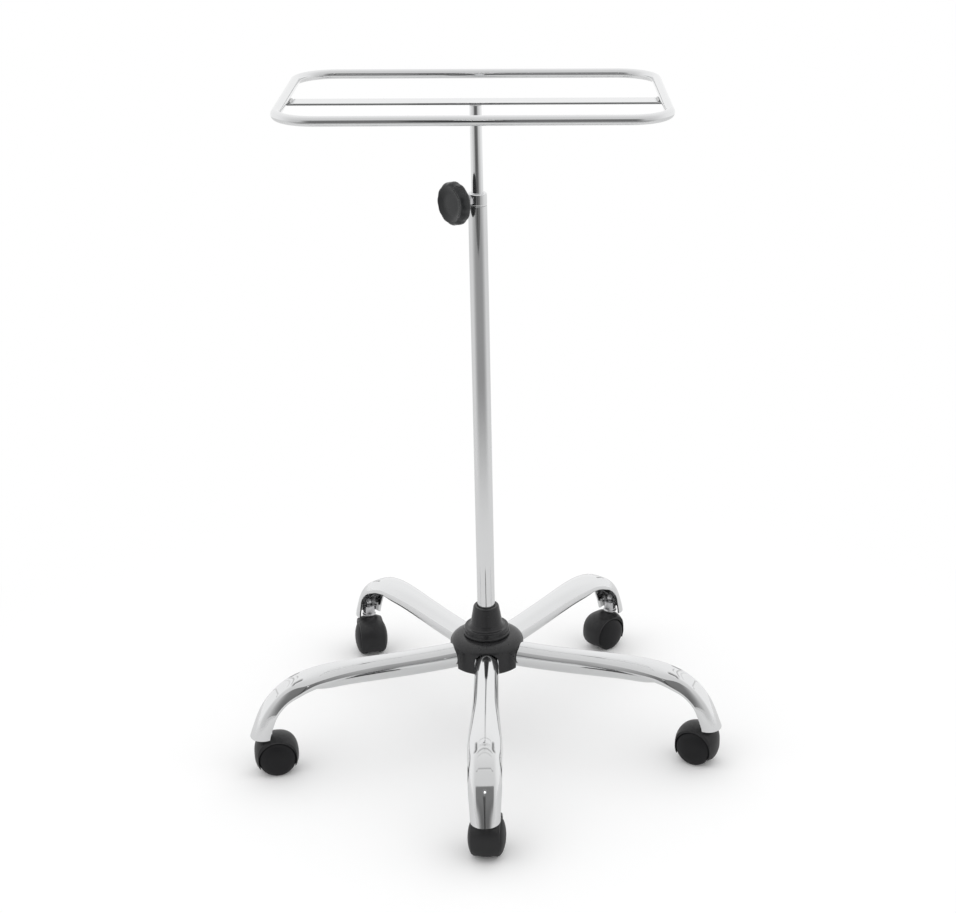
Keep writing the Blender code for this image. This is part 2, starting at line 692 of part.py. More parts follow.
def leg_section(t, inset=0.0):
    """One cross-section as (across, up) pairs, up measured from the lower edge.

    The crown is half an ellipse. The underside is the other half of the oval where the leg
    is a tube, and follows the inside of the crown where it is pressed in.
    """
    width, depth = leg_size(t)
    half = width / 2
    press = smoothstep(PRESS_START, PRESS_END, t)
    rise = depth * (0.5 + 0.3 * press)
    spring = depth - rise
    count = LEG_ARC_POINTS
    top = []
    for i in range(count):
        angle = math.pi * (1 - i / (count - 1))
        top.append(((half - inset) * math.cos(angle), spring + (rise - inset) * math.sin(angle)))
    inner = half - PRESSED_WALL
    pressed = [(half, 0), (inner, 0)]
    pressed += arc_ellipse((0, spring), inner, rise - PRESSED_WALL, count - 4)
    pressed += [(-inner, 0), (-half, 0)]
    under = []
    for i, target in enumerate(pressed):
        angle = math.pi * (i + 1) / (count + 1)
        oval = Vector(((half - inset) * math.cos(angle), spring - (spring - inset) * math.sin(angle)))
        under.append(tuple(oval.lerp(Vector(target), press)))
    return top + under


def arc_ellipse(centre, across, up, count):
    """Points on the upper half of an ellipse, from its right end to its left end."""
    angles = [math.pi * i / (count - 1) for i in range(count)]
    return [(centre[0] + across * math.cos(a), centre[1] + up * math.sin(a)) for a in angles]


def leg_mesh():
    """The leg as a loft: a hollow oval tube that turns into an open pressed shell."""

    def placed(t, section):
        up = leg_upward(t)
        low = crown_point(t) - up * leg_size(t)[1]
        return [(across, -(low.x + up.x * rise), low.y + up.y * rise) for across, rise in section]

    stations = [i / (LEG_STATIONS - 1) for i in range(LEG_STATIONS)]
    hollow = [0, TUBE_END / 2, TUBE_END]
    vertices = []
    for t in stations:
        vertices += placed(t, leg_section(t))
    inner_start = len(vertices)
    for t in hollow:
        vertices += placed(t, leg_section(t, LEG_WALL))
    count = len(leg_section(0))

    def skin(first, rows, inside):
        made = []
        for row in range(rows - 1):
            low = first + row * count
            for i in range(count):
                j = (i + 1) % count
                face = (low + i, low + count + i, low + count + j, low + j)
                made.append(face[::-1] if inside else face)
        return made

    faces = skin(0, len(stations), False) + skin(inner_start, len(hollow), True)
    faces += [(i, (i + 1) % count, inner_start + (i + 1) % count, inner_start + i) for i in range(count)]
    tip = (len(stations) - 1) * count
    faces.append(tuple(reversed(range(tip, tip + count))))
    end = inner_start + (len(hollow) - 1) * count
    faces.append(tuple(range(end, end + count)))
    return mesh_from("leg", vertices, faces=faces)


def crown_reach(height):
    """How far out the crown line is where it comes down to a height near the tip."""
    t = 1.0
    while crown_point(t).y < height:
        t -= 0.001
    return crown_point(t).x


def socket_mesh():
    """The flanged socket for a castor stem, with the lug that joins it to the leg."""
    bottom = CASTOR_HEIGHT
    top = bottom + SOCKET_HEIGHT
    bore = STEM_DIAMETER / 2 + STEM_CLEARANCE
    profile = [
        (SOCKET_RADIUS, top),
        (SOCKET_RADIUS, bottom + SOCKET_FLANGE_HEIGHT),
        (SOCKET_RADIUS + SOCKET_FLANGE, bottom + SOCKET_FLANGE_HEIGHT / 2),
        (SOCKET_RADIUS + SOCKET_FLANGE, bottom),
        (bore, bottom),
        (bore, top),
    ]
    body = turned("socket", profile, 16)
    wall = (SOCKET_RADIUS + bore) / 2
    web_top = top - SOCKET_FLANGE_HEIGHT
    web_end = crown_reach(web_top) - STEM_CIRCLE - PRESSED_WALL - SOCKET_WEB_GAP
    outline = rounded_rectangle(SOCKET_WEB_WIDTH, web_end - wall, GAP, 1)
    web = flat_outline("socket_web", outline, SOCKET_WEB_HEIGHT)
    web.location = (0, -(web_end + wall) / 2, web_top - SOCKET_WEB_HEIGHT / 2)
    boolean(body, as_cutter(web), "UNION")
    return baked(body)


# Castors, in a frame with the stem on the Z axis and the axle along X at y = WHEEL_TRAIL

def axle_frame():
    """Turns +Z to the axle's direction, +X, at the axle's place."""
    return Matrix.Translation((0, WHEEL_TRAIL, WHEEL_RADIUS)) @ Matrix.Rotation(math.pi / 2, 4, "Y")


def wheel_mesh():
    """One wheel with a rounded tread and a domed face, on the castor's +X side."""
    corner = WHEEL_RADIUS / math.cos(math.pi / WHEEL_SIDES)
    inside = WEB_HALF + WHEEL_SIDE_GAP
    hub = AXLE_DIAMETER / 2 + AXLE_CLEARANCE
    bulge = WHEEL_HALF_WIDTH - WHEEL_HALF_TREAD
    profile = [(corner * out, WHEEL_HALF_TREAD + bulge * math.sqrt(1 - out ** 2))
               for out in (0, 0.6, 0.9, 1)]
    profile += [
        (corner, inside + WHEEL_EDGE),
        (corner - WHEEL_EDGE, inside),
        (hub, inside),
        (hub, AXLE_HALF_LENGTH + GAP),
        (0, AXLE_HALF_LENGTH + GAP),
    ]
    wheel = turned("wheel", profile, WHEEL_SIDES, closed=False)
    mesh = baked(wheel)
    mesh.transform(Matrix.Rotation(math.pi / 2, 4, "Y") @ Matrix.Rotation(math.pi / WHEEL_SIDES, 4, "Z"))
    return mesh


def hood_reach(y, z):
    """The hood's outer radius in a direction from the axle: round, but squared up at the stem."""
    length = math.hypot(y, z)
    power = HOOD_SQUARENESS if y < 0 and z > 0 else 2
    upper = BOSS_HEIGHT - WHEEL_RADIUS if z > 0 else HOOD_RADIUS
    across, up = abs(y) / length / HOOD_RADIUS, abs(z) / length / upper
    return (across ** power + up ** power) ** (-1 / power)


def hood_wall(across):
    """The hood's outer and inner radius at a distance from the castor's middle."""
    fall = (abs(across) / HOOD_HALF_WIDTH) ** HOOD_CROWN_POWER
    return HOOD_RADIUS - HOOD_CROWN * fall, HOOD_RADIUS - HOOD_WALL - HOOD_INNER_CROWN * fall


def hood_mesh():
    """The castor body: a barrel-shaped hood over both wheels and the web between them."""
    axle_hole = AXLE_DIAMETER / 2 + AXLE_CLEARANCE
    outside = [(hood_wall(part * HOOD_HALF_WIDTH)[0], part * HOOD_HALF_WIDTH) for part in (0.55, 1)]
    inside = [(hood_wall(part * HOOD_HALF_WIDTH)[1], part * HOOD_HALF_WIDTH) for part in (1, 0.75)]
    inside += [(HOOD_RADIUS - HOOD_WALL, WEB_HALF), (axle_hole, WEB_HALF)]
    mirrored = [(radius, -across) for radius, across in outside + inside]
    profile = outside[::-1] + mirrored + inside[::-1]
    mesh = baked(turned("hood", profile, HOOD_SIDES))
    mesh.transform(axle_frame())
    for vertex in mesh.vertices:
        y, z = vertex.co.y - WHEEL_TRAIL, vertex.co.z - WHEEL_RADIUS
        if math.hypot(y, z) > sum(hood_wall(vertex.co.x)) / 2:
            stretch = hood_reach(y, z) / HOOD_RADIUS
            vertex.co.y = WHEEL_TRAIL + y * stretch
            vertex.co.z = WHEEL_RADIUS + z * stretch
    hood = mesh_object("hood", mesh)
    reach = 2 * HOOD_RADIUS
    below = flat_outline("floor_side", rounded_rectangle(2 * reach, 2 * reach, GAP, 1), reach)
    below.location = (0, WHEEL_TRAIL, HOOD_LIP_HEIGHT - reach / 2)
    hole = rod("stem_seat", STEM_DIAMETER / 2 + GAP, BOSS_HEIGHT - STEM_DEPTH, BOSS_HEIGHT + STEM_DEPTH, 12)
    boolean(hood, as_cutter(below), "DIFFERENCE")
    boolean(hood, as_cutter(hole), "DIFFERENCE")
    return baked(hood)


def stem_mesh():
    """The castor's pin, with the round grip that shows above the socket."""
    foot = BOSS_HEIGHT - STEM_DEPTH + GAP
    top = CASTOR_HEIGHT + SOCKET_HEIGHT + GAP
    neck = STEM_DIAMETER / 2 * 0.8
    centre = top + STEM_BALL / 2
    ball = arc((0, centre), STEM_BALL / 2, 90, -40, 4)
    profile = [(0, ball[0][1])] + ball[1:] + [(neck, top - GAP), (STEM_DIAMETER / 2, top - STEM_DIAMETER / 4)]
    profile += [(STEM_DIAMETER / 2, foot), (0, foot)]
    return baked(turned("stem", profile, 12, closed=False))


def axle_mesh():
    """The pin through the web, with a wheel on each end."""
    mesh = baked(rod("axle", AXLE_DIAMETER / 2, -AXLE_HALF_LENGTH, AXLE_HALF_LENGTH, 12))
    mesh.transform(axle_frame())
    return mesh


def centre_on_footprint(stand):
    """Moves the stand so that the middle of its outline on the floor is at the origin."""
    bpy.context.view_layer.update()
    solids = [obj for obj in PART.objects if obj.type == "MESH"]
    points = [obj.matrix_world @ vertex.co for obj in solids for vertex in obj.data.vertices]
    for axis in (0, 1):
        across = [point[axis] for point in points]
        stand.location[axis] = -(min(across) + max(across)) / 2


def build():
    """Makes every sub-part in its place."""
    clear_scene()
    chrome = material("chrome", (0.80, 0.80, 0.80), 0.08, 1.0)
    steel = material("steel", (0.55, 0.55, 0.56), 0.35, 1.0)
    plastic = material("black_plastic", (0.030, 0.030, 0.032), 0.45, 0.0)
    wheel_finish = material("wheel_plastic", (0.022, 0.022, 0.023), 0.5, 0.0)
    nylon = material("white_nylon", (0.75, 0.74, 0.70), 0.5, 0.0)

    stand = empty("stand", None)
    tray_ring(chrome, stand)
    cross_bar(chrome, stand)
    mast(chrome, stand)
    mast_glide(nylon, stand)
    column_tube(chrome, stand)
    column_collar(chrome, stand)
    guide_bush(nylon, stand)

    clamp = empty("clamp_axis", stand)
    clamp.matrix_local = clamp_frame()
    clamp_nut(steel, clamp)
    clamp_pad(nylon, clamp)
    clamp_screw(steel, clamp)
    clamp_knob(plastic, clamp)

    hub_core(steel, stand)
    column_foot(steel, stand)
    base_washer(steel, stand)
    base_bolt(steel, stand)
    hub_cover(plastic, stand)
    column_boot(plastic, stand)

    leg, socket = leg_mesh(), socket_mesh()
    hood, wheel, stem, axle = hood_mesh(), wheel_mesh(), stem_mesh(), axle_mesh()
    for side, index in LEGS.items():
        direction = empty(side + "_leg_direction", stand, turn=index * LEG_STEP)
        finished(mesh_object(side + "_leg", leg), chrome, direction)
        swivel = empty(side + "_stem_axis", direction, (0, -STEM_CIRCLE, 0))
        finished(mesh_object(side + "_leg_socket", socket), steel, swivel)
        heading = empty(side + "_castor", swivel, turn=CASTOR_HEADINGS[side] - index * LEG_STEP)
        finished(mesh_object(side + "_castor_stem", stem), steel, heading)
        finished(mesh_object(side + "_castor_hood", hood), plastic, heading)
        finished(mesh_object(side + "_castor_axle", axle), steel, heading)
        for hand, turn in (("a", 0), ("b", math.pi)):
            made = finished(mesh_object(side + "_castor_wheel_" + hand, wheel), wheel_finish, heading)
            made.location = (0, WHEEL_TRAIL, WHEEL_RADIUS)
            made.rotation_euler = (0, 0, turn)
    centre_on_footprint(stand)


build()
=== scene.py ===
# %% [markdown]
# # A mayo instrument stand
#
# The real stand is a chromed tray frame on a telescopic column, over five pressed tube legs
# with black twin-wheel castors. It was photographed in a bright studio, and most of what the
# eye sees on it is the room reflected in the chrome. So this lesson spends its effort on two
# things: smooth surfaces with the true curvature, and a studio worth reflecting.
#
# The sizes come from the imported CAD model, which is loaded first and never changed. Each
# piece made here stands for a CAD node in the same place and moves with the same body.

# %% Load the frame
import json
import math

import bmesh
import bpy
import numpy as np
from mathutils import Matrix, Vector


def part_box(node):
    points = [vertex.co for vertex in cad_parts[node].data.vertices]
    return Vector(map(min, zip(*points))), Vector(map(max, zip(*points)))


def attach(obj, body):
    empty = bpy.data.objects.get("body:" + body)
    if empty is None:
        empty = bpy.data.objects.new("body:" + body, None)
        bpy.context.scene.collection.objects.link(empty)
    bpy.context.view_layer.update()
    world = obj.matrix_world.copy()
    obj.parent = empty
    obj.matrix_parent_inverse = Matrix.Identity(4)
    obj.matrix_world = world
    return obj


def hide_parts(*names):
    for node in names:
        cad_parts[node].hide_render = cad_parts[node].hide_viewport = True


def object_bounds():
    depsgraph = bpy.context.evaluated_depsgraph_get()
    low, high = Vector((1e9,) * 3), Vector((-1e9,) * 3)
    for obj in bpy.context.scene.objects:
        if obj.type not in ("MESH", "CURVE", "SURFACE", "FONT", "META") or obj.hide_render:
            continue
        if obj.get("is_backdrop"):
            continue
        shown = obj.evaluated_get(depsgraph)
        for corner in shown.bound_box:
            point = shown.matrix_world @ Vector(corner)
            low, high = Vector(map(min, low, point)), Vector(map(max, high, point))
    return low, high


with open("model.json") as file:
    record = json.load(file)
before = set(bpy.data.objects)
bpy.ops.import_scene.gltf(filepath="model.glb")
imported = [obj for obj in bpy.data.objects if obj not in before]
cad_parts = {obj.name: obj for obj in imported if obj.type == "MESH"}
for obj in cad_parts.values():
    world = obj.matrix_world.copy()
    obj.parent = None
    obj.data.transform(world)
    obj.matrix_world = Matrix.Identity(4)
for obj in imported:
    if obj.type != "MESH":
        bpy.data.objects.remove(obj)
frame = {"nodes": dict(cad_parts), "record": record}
cad_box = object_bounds()
BODIES = frame["record"]["behaviour"]["bodies"]
BODY_OF = {node: body for body, nodes in BODIES.items() for node in nodes}

# %% [markdown]
# ## Surfaces from grids of points
#
# Every piece below is a grid: rows of points, each row one ring or one cross-section. The
# grid could be skinned face by face in a loop, but numpy gives all the quads at once. Where
# a row shrinks to a point, its doubles are merged, so that the pole is closed.

# %% Skin a grid of points
MM = 0.001
MERGE = 0.000001


def grid_faces(rows, columns, wrap_rows, wrap_columns):
    """Quads (r, c), (r, c+1), (r+1, c+1), (r+1, c). The last row or column may meet the first."""
    r = np.arange(rows if wrap_rows else rows - 1)[:, None]
    c = np.arange(columns if wrap_columns else columns - 1)[None, :]
    r2, c2 = (r + 1) % rows, (c + 1) % columns
    corners = [r * columns + c, r * columns + c2, r2 * columns + c2, r2 * columns + c]
    return np.stack([np.broadcast_to(k, (r.size, c.size)) for k in corners], -1).reshape(-1, 4)


def shell(name, *grids, wrap_rows=False, wrap_columns=True, sharp=45, mark=None):
    """One object from one or more grids of points. Doubles merge, then the faces turn outwards.

    A mark, one value for each point, goes into the mesh as the attribute "mark" for the finish.
    """
    points, faces, start = [], [], 0
    for grid in grids:
        rows, columns = grid.shape[:2]
        points.append(grid.reshape(-1, 3))
        faces.append(grid_faces(rows, columns, wrap_rows, wrap_columns) + start)
        start += rows * columns
    mesh = bpy.data.meshes.new(name)
    mesh.from_pydata(np.concatenate(points).tolist(), [], np.concatenate(faces).tolist())
    if mark is not None:
        layer = mesh.attributes.new("mark", "FLOAT", "POINT")
        layer.data.foreach_set("value", np.ascontiguousarray(mark, np.float32).ravel())
    tidy = bmesh.new()
    tidy.from_mesh(mesh)
    bmesh.ops.remove_doubles(tidy, verts=tidy.verts, dist=MERGE)
    bmesh.ops.recalc_face_normals(tidy, faces=tidy.faces)
    tidy.to_mesh(mesh)
    tidy.free()
    mesh.shade_smooth()
    mesh.set_sharp_from_angle(angle=math.radians(sharp))
    obj = bpy.data.objects.new(name, mesh)
    bpy.context.scene.collection.objects.link(obj)
    return obj


# %% [markdown]
# ## Turned profiles, rounded corners and swept tubes
#
# Most parts of the stand were turned, moulded round an axis or drawn as tube. A lathe
# profile and a swept section make them all. No real edge is perfectly sharp, and an edge
# that catches no light looks like a drawing, so each profile corner is eased.

# %% Round the corners of a profile
def eased(corners, radius, closed=False, steps=5):
    """A profile with each corner C replaced by (1-t)²A + 2t(1-t)C + t²B, for t from 0 to 1.

    A and B lie one radius before and after C, or less on a short side. A last point a little
    further out keeps the shading of the flat beside it flat.
    """
    corners = np.asarray(corners, float)
    radii = np.broadcast_to(radius, len(corners))
    before, after = np.roll(corners, 1, 0), np.roll(corners, -1, 0)
    t = np.linspace(0, 1, steps + 1)[:, None]
    points = []
    for i, corner in enumerate(corners):
        if not closed and i in (0, len(corners) - 1) or radii[i] == 0:
            points.append(corner[None])
            continue
        ends = []
        for other in (before[i], after[i]):
            length = np.linalg.norm(other - corner)
            ends.append((other - corner) / length * min(radii[i], length * 0.42))
        a, b = corner + ends[0], corner + ends[1]
        curve = (1 - t) ** 2 * a + 2 * t * (1 - t) * corner + t ** 2 * b
        points += [corner[None] + ends[0] * 1.15, curve, corner[None] + ends[1] * 1.15]
    return np.concatenate(points)


# %% Turn a profile
def lathe(profile, sides=96):
    """Turns (radius, height) pairs about +Z: each goes to (r cos a, r sin a, h) for each angle."""
    angle = np.linspace(0, 2 * np.pi, sides, endpoint=False)
    radius, height = np.asarray(profile, float).T
    flat = np.broadcast_to(height[:, None], (len(height), sides))
    return np.stack([np.outer(radius, np.cos(angle)), np.outer(radius, np.sin(angle)), flat], -1)


# %% Carry a section along a path
def swept(path, section, closed=False, up=(0, 0, 1)):
    """Places a section (across, up) at each path point, square to the path's direction there."""
    if closed:
        along = np.roll(path, -1, 0) - np.roll(path, 1, 0)
    else:
        along = np.gradient(path, axis=0)
    along /= np.linalg.norm(along, axis=1, keepdims=True)
    side = np.cross(along, up)
    side /= np.linalg.norm(side, axis=1, keepdims=True)
    top = np.cross(side, along)
    across, upward = np.asarray(section).T[..., None]
    return path[:, None] + across * side[:, None] + upward * top[:, None]


def circle(radius, count):
    """Points of a circle as (across, up) pairs."""
    angle = np.linspace(0, 2 * np.pi, count, endpoint=False)
    return np.stack([radius * np.cos(angle), radius * np.sin(angle)], -1)


# %% Put a shape in its place
def placed(points, origin, x=(1, 0, 0), y=(0, 1, 0), z=(0, 0, 1)):
    """Moves points from a local frame, given by its origin and axes, into the stand's frame."""
    return points @ np.array([x, y, z], float) + np.asarray(origin, float)


def middle_of(node):
    """The middle of a CAD node's box, on the floor."""
    low, high = (np.array(corner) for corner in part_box(node))
    return (low + high) / 2 * (1, 1, 0)


column_low, column_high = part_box("column_tube")
AXIS = middle_of("column_tube")
print("the column's axis is at", np.round(AXIS[:2] / MM, 2), "mm")


# %% [markdown]
# ## Chrome
#
# Bright chrome plate is a mirror with a slight grey of its own. A plain metal of low
# roughness would do from afar. Up close, plated tube shows a faint orange-peel ripple from
# the steel beneath and clouds of wiped polish, so the roughness and the bump each get a
# noise of their own scale. Both stay weak, or the reflected lines would break up.

# %% Small helpers for node materials
def add(made, kind, *values, **named):
    """Adds a node to a material or world and fills it in.

    The values go to its sockets in their order, and names with a capital to the socket of that
    name: a socket is linked, and anything else but None is its constant. Names without a
    capital are the node's own settings.
    """
    tree = made.node_tree
    node = tree.nodes.new("ShaderNode" + kind)
    sockets = list(zip(node.inputs, values))
    for name, value in named.items():
        if name[0].isupper():
            sockets.append((node.inputs[name], value))
        else:
            setattr(node, name, value)
    for socket, value in sockets:
        if isinstance(value, bpy.types.NodeSocket):
            tree.links.new(value, socket)
        elif value is not None:
            socket.default_value = value
    return node


def new_finish(name, colour, metallic, roughness):
    """A Principled material with its plain values on the shader's own sockets."""
    made = bpy.data.materials.new(name)
    made.use_nodes = True
    shader = made.node_tree.nodes["Principled BSDF"]
    shader.inputs["Base Color"].default_value = (*colour, 1)
    shader.inputs["Metallic"].default_value = metallic
    shader.inputs["Roughness"].default_value = roughness
    return made, shader


def drive(made, shader, socket, value):
    """Links a value to one of the shader's sockets."""
    made.node_tree.links.new(value, shader.inputs[socket])


def noise(made, scale, detail=3.0, stretch=(1, 1, 1)):
    """Noise on Object coordinates, this many cells a metre, stretched along an axis."""
    place = add(made, "TexCoord").outputs["Object"]
    stretched = add(made, "Mapping", Vector=place, Scale=stretch).outputs["Vector"]
    return add(made, "TexNoise", Vector=stretched, Scale=scale, Detail=detail).outputs["Fac"]


def spread(made, value, low, high, start=0.3, end=0.7):
    """Spreads a noise value, which stays near a half, over a range of roughness or height."""
    return add(made, "MapRange", value, start, end, low, high).outputs["Result"]


def bump(made, shader, height, strength, distance, before=None):
    """Tilts the shading by a height value, after another bump where one is given."""
    first = before.outputs["Normal"] if before else None
    node = add(made, "Bump", Strength=strength, Distance=distance, Height=height, Normal=first)
    drive(made, shader, "Normal", node.outputs["Normal"])
    return node


def mixed(made, factor, first, second):
    """A colour between two colours by a factor."""
    node = add(made, "Mix", data_type="RGBA")
    node.inputs[6].default_value = (*first, 1)
    node.inputs[7].default_value = (*second, 1)
    made.node_tree.links.new(factor, node.inputs[0])
    return node.outputs[2]


# %% The bright chrome of the tubes
CHROME_COLOUR = (0.80, 0.805, 0.81)
# Painted shade: the leg chrome is coloured this dark in its creases and inside its hollow.
PAINTED_SHADE_COLOUR = (0.10, 0.10, 0.10)


def chrome_finish(name, stretch):
    """Mirror chrome whose wipe marks run the way the stretch says."""
    made, shader = new_finish(name, CHROME_COLOUR, 1.0, 0.06)
    drive(made, shader, "Roughness", spread(made, noise(made, 60, 4, stretch), 0.035, 0.095))
    peel = bump(made, shader, noise(made, 90, 2), 0.05, 0.00004)
    bump(made, shader, noise(made, 900, 2, stretch), 0.02, 0.00001, peel)
    return made


def pressed_chrome_finish():
    """The same chrome with painted shade: darkened where the mesh is marked, in the creases and
    inside the legs.
    """
    made = chrome_finish("pressed_leg_chrome", (1, 1, 1))
    shader = made.node_tree.nodes["Principled BSDF"]
    marked = add(made, "Attribute", attribute_name="mark").outputs["Fac"]
    # Painted shade: the marked places are coloured dark instead of chrome.
    drive(made, shader, "Base Color", mixed(made, marked, CHROME_COLOUR, PAINTED_SHADE_COLOUR))
    return made


chrome = chrome_finish("bright_chrome", (1, 1, 1))
column_chrome = chrome_finish("drawn_tube_chrome", (1, 1, 0.06))
pressed_chrome = pressed_chrome_finish()

# %% [markdown]
# ## Plain steel, welds and plastics
#
# The castor stems, sockets and clamp screw are zinc plated: duller than chrome, with a fine
# grain. The welds were plated with the tubes, but their skin stays rough. The knob, boot,
# hub cover and castors are black moulded plastic. A single black looks like a hole in the
# picture, so the mould's spark-eroded texture goes in as bump, the sheen varies slowly, and
# a trace of dust lightens what faces up.

# %% Zinc plate and weld metal
def zinc_finish():
    """Satin zinc plate with a fine grain and slow cloudiness."""
    made, shader = new_finish("zinc_plate", (0.62, 0.62, 0.63), 1.0, 0.25)
    cloud = spread(made, noise(made, 180, 3), 0, 1)
    drive(made, shader, "Base Color", mixed(made, cloud, (0.52, 0.52, 0.53), (0.70, 0.70, 0.71)))
    drive(made, shader, "Roughness", spread(made, noise(made, 900, 3), 0.16, 0.34))
    bump(made, shader, noise(made, 2600, 2), 0.1, 0.00003)
    return made


def weld_finish():
    """Plated weld metal, uneven and a little darker than the tube."""
    made, shader = new_finish("plated_weld", (0.60, 0.60, 0.60), 1.0, 0.2)
    drive(made, shader, "Roughness", spread(made, noise(made, 700, 4), 0.12, 0.32))
    bump(made, shader, noise(made, 500, 4), 0.35, 0.0002)
    return made


zinc = zinc_finish()
weld_metal = weld_finish()


# %% Black moulded plastic
def upward(made):
    """How far a surface faces up: 0 at the sides and below, 1 on top."""
    normal = add(made, "TexCoord").outputs["Normal"]
    return spread(made, add(made, "SeparateXYZ", normal).outputs["Z"], 0, 1, 0.2, 1.0)


def plastic_finish(name, dark, pale, roughness, grain, gloss):
    """Moulded plastic: dust where it faces up, slow sheen changes and a fine mould texture."""
    made, shader = new_finish(name, dark, 0.0, roughness)
    shader.inputs["Specular IOR Level"].default_value = gloss
    shader.inputs["IOR"].default_value = 1.49
    flecks = spread(made, noise(made, 240, 6), 0.25, 1.0)
    dust = add(made, "Math", upward(made), flecks, operation="MULTIPLY").outputs["Value"]
    drive(made, shader, "Base Color", mixed(made, dust, dark, pale))
    sheen = spread(made, noise(made, 35, 3), roughness - 0.05, roughness + 0.07)
    drive(made, shader, "Roughness", sheen)
    bump(made, shader, noise(made, grain, 2), 0.25, 0.00006)
    return made


PLASTICS = {
    "knob_plastic": ((0.013, 0.014, 0.015), (0.022, 0.023, 0.024), 0.30, 1500, 0.45),
    "cover_plastic": ((0.012, 0.012, 0.013), (0.026, 0.026, 0.027), 0.24, 1700, 0.45),
    "castor_plastic": ((0.013, 0.013, 0.014), (0.036, 0.036, 0.037), 0.40, 1900, 0.35),
    "wheel_plastic": ((0.008, 0.008, 0.009), (0.014, 0.014, 0.015), 0.42, 1200, 0.25),
}
knob_plastic, cover_plastic, castor_plastic, wheel_plastic = (
    plastic_finish(name, *values) for name, values in PLASTICS.items()
)


# %% [markdown]
# ## Fitting a piece to the frame
#
# Each piece stands for one or more CAD nodes. The first of them says which body it rides
# on. The CAD node is then hidden and only serves the simulation.


def fit(obj, finish, node, replaces=True):
    """Gives a piece its finish and body, and hides the CAD node that it stands for."""
    obj.data.materials.append(finish)
    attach(obj, BODY_OF[node])
    if replaces:
        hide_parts(node)
    size = " x ".join(f"{1000 * side:.1f}" for side in obj.dimensions)
    print(f"{obj.name}: {size} mm, {len(obj.data.polygons)} faces")


# %% [markdown]
# ## The tray ring
#
# A 12.7 mm tube is bent into a rectangle and closed by a butt weld in the middle of its
# rear side. A curve object with a bevel would do, but a swept grid puts enough rings in the
# bends for the reflections to run round them without a kink.

# %% Sweep the ring
FRAME_TUBE = 12.7 * MM
FRAME_BEND = 52 * MM
ring_low, ring_high = (np.array(corner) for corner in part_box("tray_ring"))
FRAME_HEIGHT = ring_high[2] - FRAME_TUBE / 2


def corner_arc(centre, radius, start, count):
    """A quarter circle about a centre, from a start angle on."""
    angle = start + np.linspace(0, np.pi / 2, count)
    return centre + radius * np.stack([np.cos(angle), np.sin(angle)], -1)


def rounded_path(width, depth, radius, height, bend_steps=28, side_steps=24):
    """A closed rectangle with round corners, anticlockwise, with points along its sides too."""
    corners = []
    for quarter, (sx, sy) in enumerate(((1, 1), (-1, 1), (-1, -1), (1, -1))):
        centre = np.array([sx * (width / 2 - radius), sy * (depth / 2 - radius)])
        corners.append(corner_arc(centre, radius, quarter * np.pi / 2, bend_steps))
    pieces = []
    for i, bend in enumerate(corners):
        t = np.linspace(0, 1, side_steps)[1:-1, None]
        pieces += [bend, bend[-1] * (1 - t) + corners[(i + 1) % 4][0] * t]
    flat = np.concatenate(pieces)
    return np.column_stack([flat, np.full(len(flat), height)]) + AXIS


ring_path = rounded_path(
    ring_high[0] - ring_low[0] - FRAME_TUBE,
    ring_high[1] - ring_low[1] - FRAME_TUBE,
    FRAME_BEND,
    FRAME_HEIGHT,
)
ring_skin = swept(ring_path, circle(FRAME_TUBE / 2, 40), closed=True)
fit(shell("tray_frame_ring", ring_skin, wrap_rows=True), chrome, "tray_ring")

# %% [markdown]
# ## The cross bar
#
# A flat bar of 32 by 3 mm lies under the ring's short sides and carries it on the mast. Its
# rolled edges are slightly round, its corners are cut round, and its ends are pressed down
# half a millimetre where the ring lies on them. One section carried along X does it all.

# %% Shape the bar
BAR_CORNER = 3 * MM
BAR_EDGE = 0.9 * MM
BAR_SEAT_DEPTH = 0.5 * MM
BAR_SEAT_MARGIN = 3.5 * MM
bar_low, bar_high = (np.array(corner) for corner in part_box("cross_bar"))
BAR_HALF = np.array([bar_high[0] - bar_low[0], 31.75 * MM, 3.2 * MM]) / 2
BAR_TOP = ring_low[2] + 0.2 * MM


def smooth(low, high, value):
    """Rises from 0 at low to 1 at high as 3t² - 2t³."""
    t = np.clip((value - low) / (high - low), 0, 1)
    return t * t * (3 - 2 * t)


def block(half, thick):
    """The corners of a rectangle about its middle."""
    return [(-half, -thick), (half, -thick), (half, thick), (-half, thick)]


def capped(rows):
    """Closes a grid of sections: each end gets a last row that is the section's middle point."""
    ends = [row.mean(1, keepdims=True).repeat(rows.shape[1], 1) for row in (rows[:1], rows[-1:])]
    return np.concatenate([ends[0], rows, ends[1]])


def bar_grid():
    """Sections of a round-edged rectangle, narrowed at the corners and let down under the ring."""
    length, half, thick = BAR_HALF
    section = eased(block(half, thick), BAR_EDGE, closed=True)
    inside = np.linspace(0, length - BAR_CORNER, 90)
    corner = length - BAR_CORNER + BAR_CORNER * np.sin(np.linspace(0, np.pi / 2, 12))[1:]
    x = np.concatenate([-corner[::-1], -inside[:0:-1], inside, corner])
    into = np.clip((np.abs(x) - (length - BAR_CORNER)) / BAR_CORNER, 0, 1)
    narrow = BAR_CORNER * (1 - np.sqrt(1 - into ** 2))
    scale = 1 - narrow / half
    seat = length - FRAME_TUBE - BAR_SEAT_MARGIN + 2 * MM
    drop = BAR_SEAT_DEPTH * smooth(seat, seat + 1.2 * MM, np.abs(x))
    rows = np.zeros((len(x), len(section), 3))
    rows[..., 0] = x[:, None]
    rows[..., 1] = section[None, :, 0] * scale[:, None]
    rows[..., 2] = section[None, :, 1] - (drop[:, None] * (section[None, :, 1] > 0))
    return capped(rows)


bar_at = AXIS + (0, 0, BAR_TOP - BAR_HALF[2])
fit(shell("cross_bar_plate", placed(bar_grid(), bar_at), sharp=60), chrome, "cross_bar")

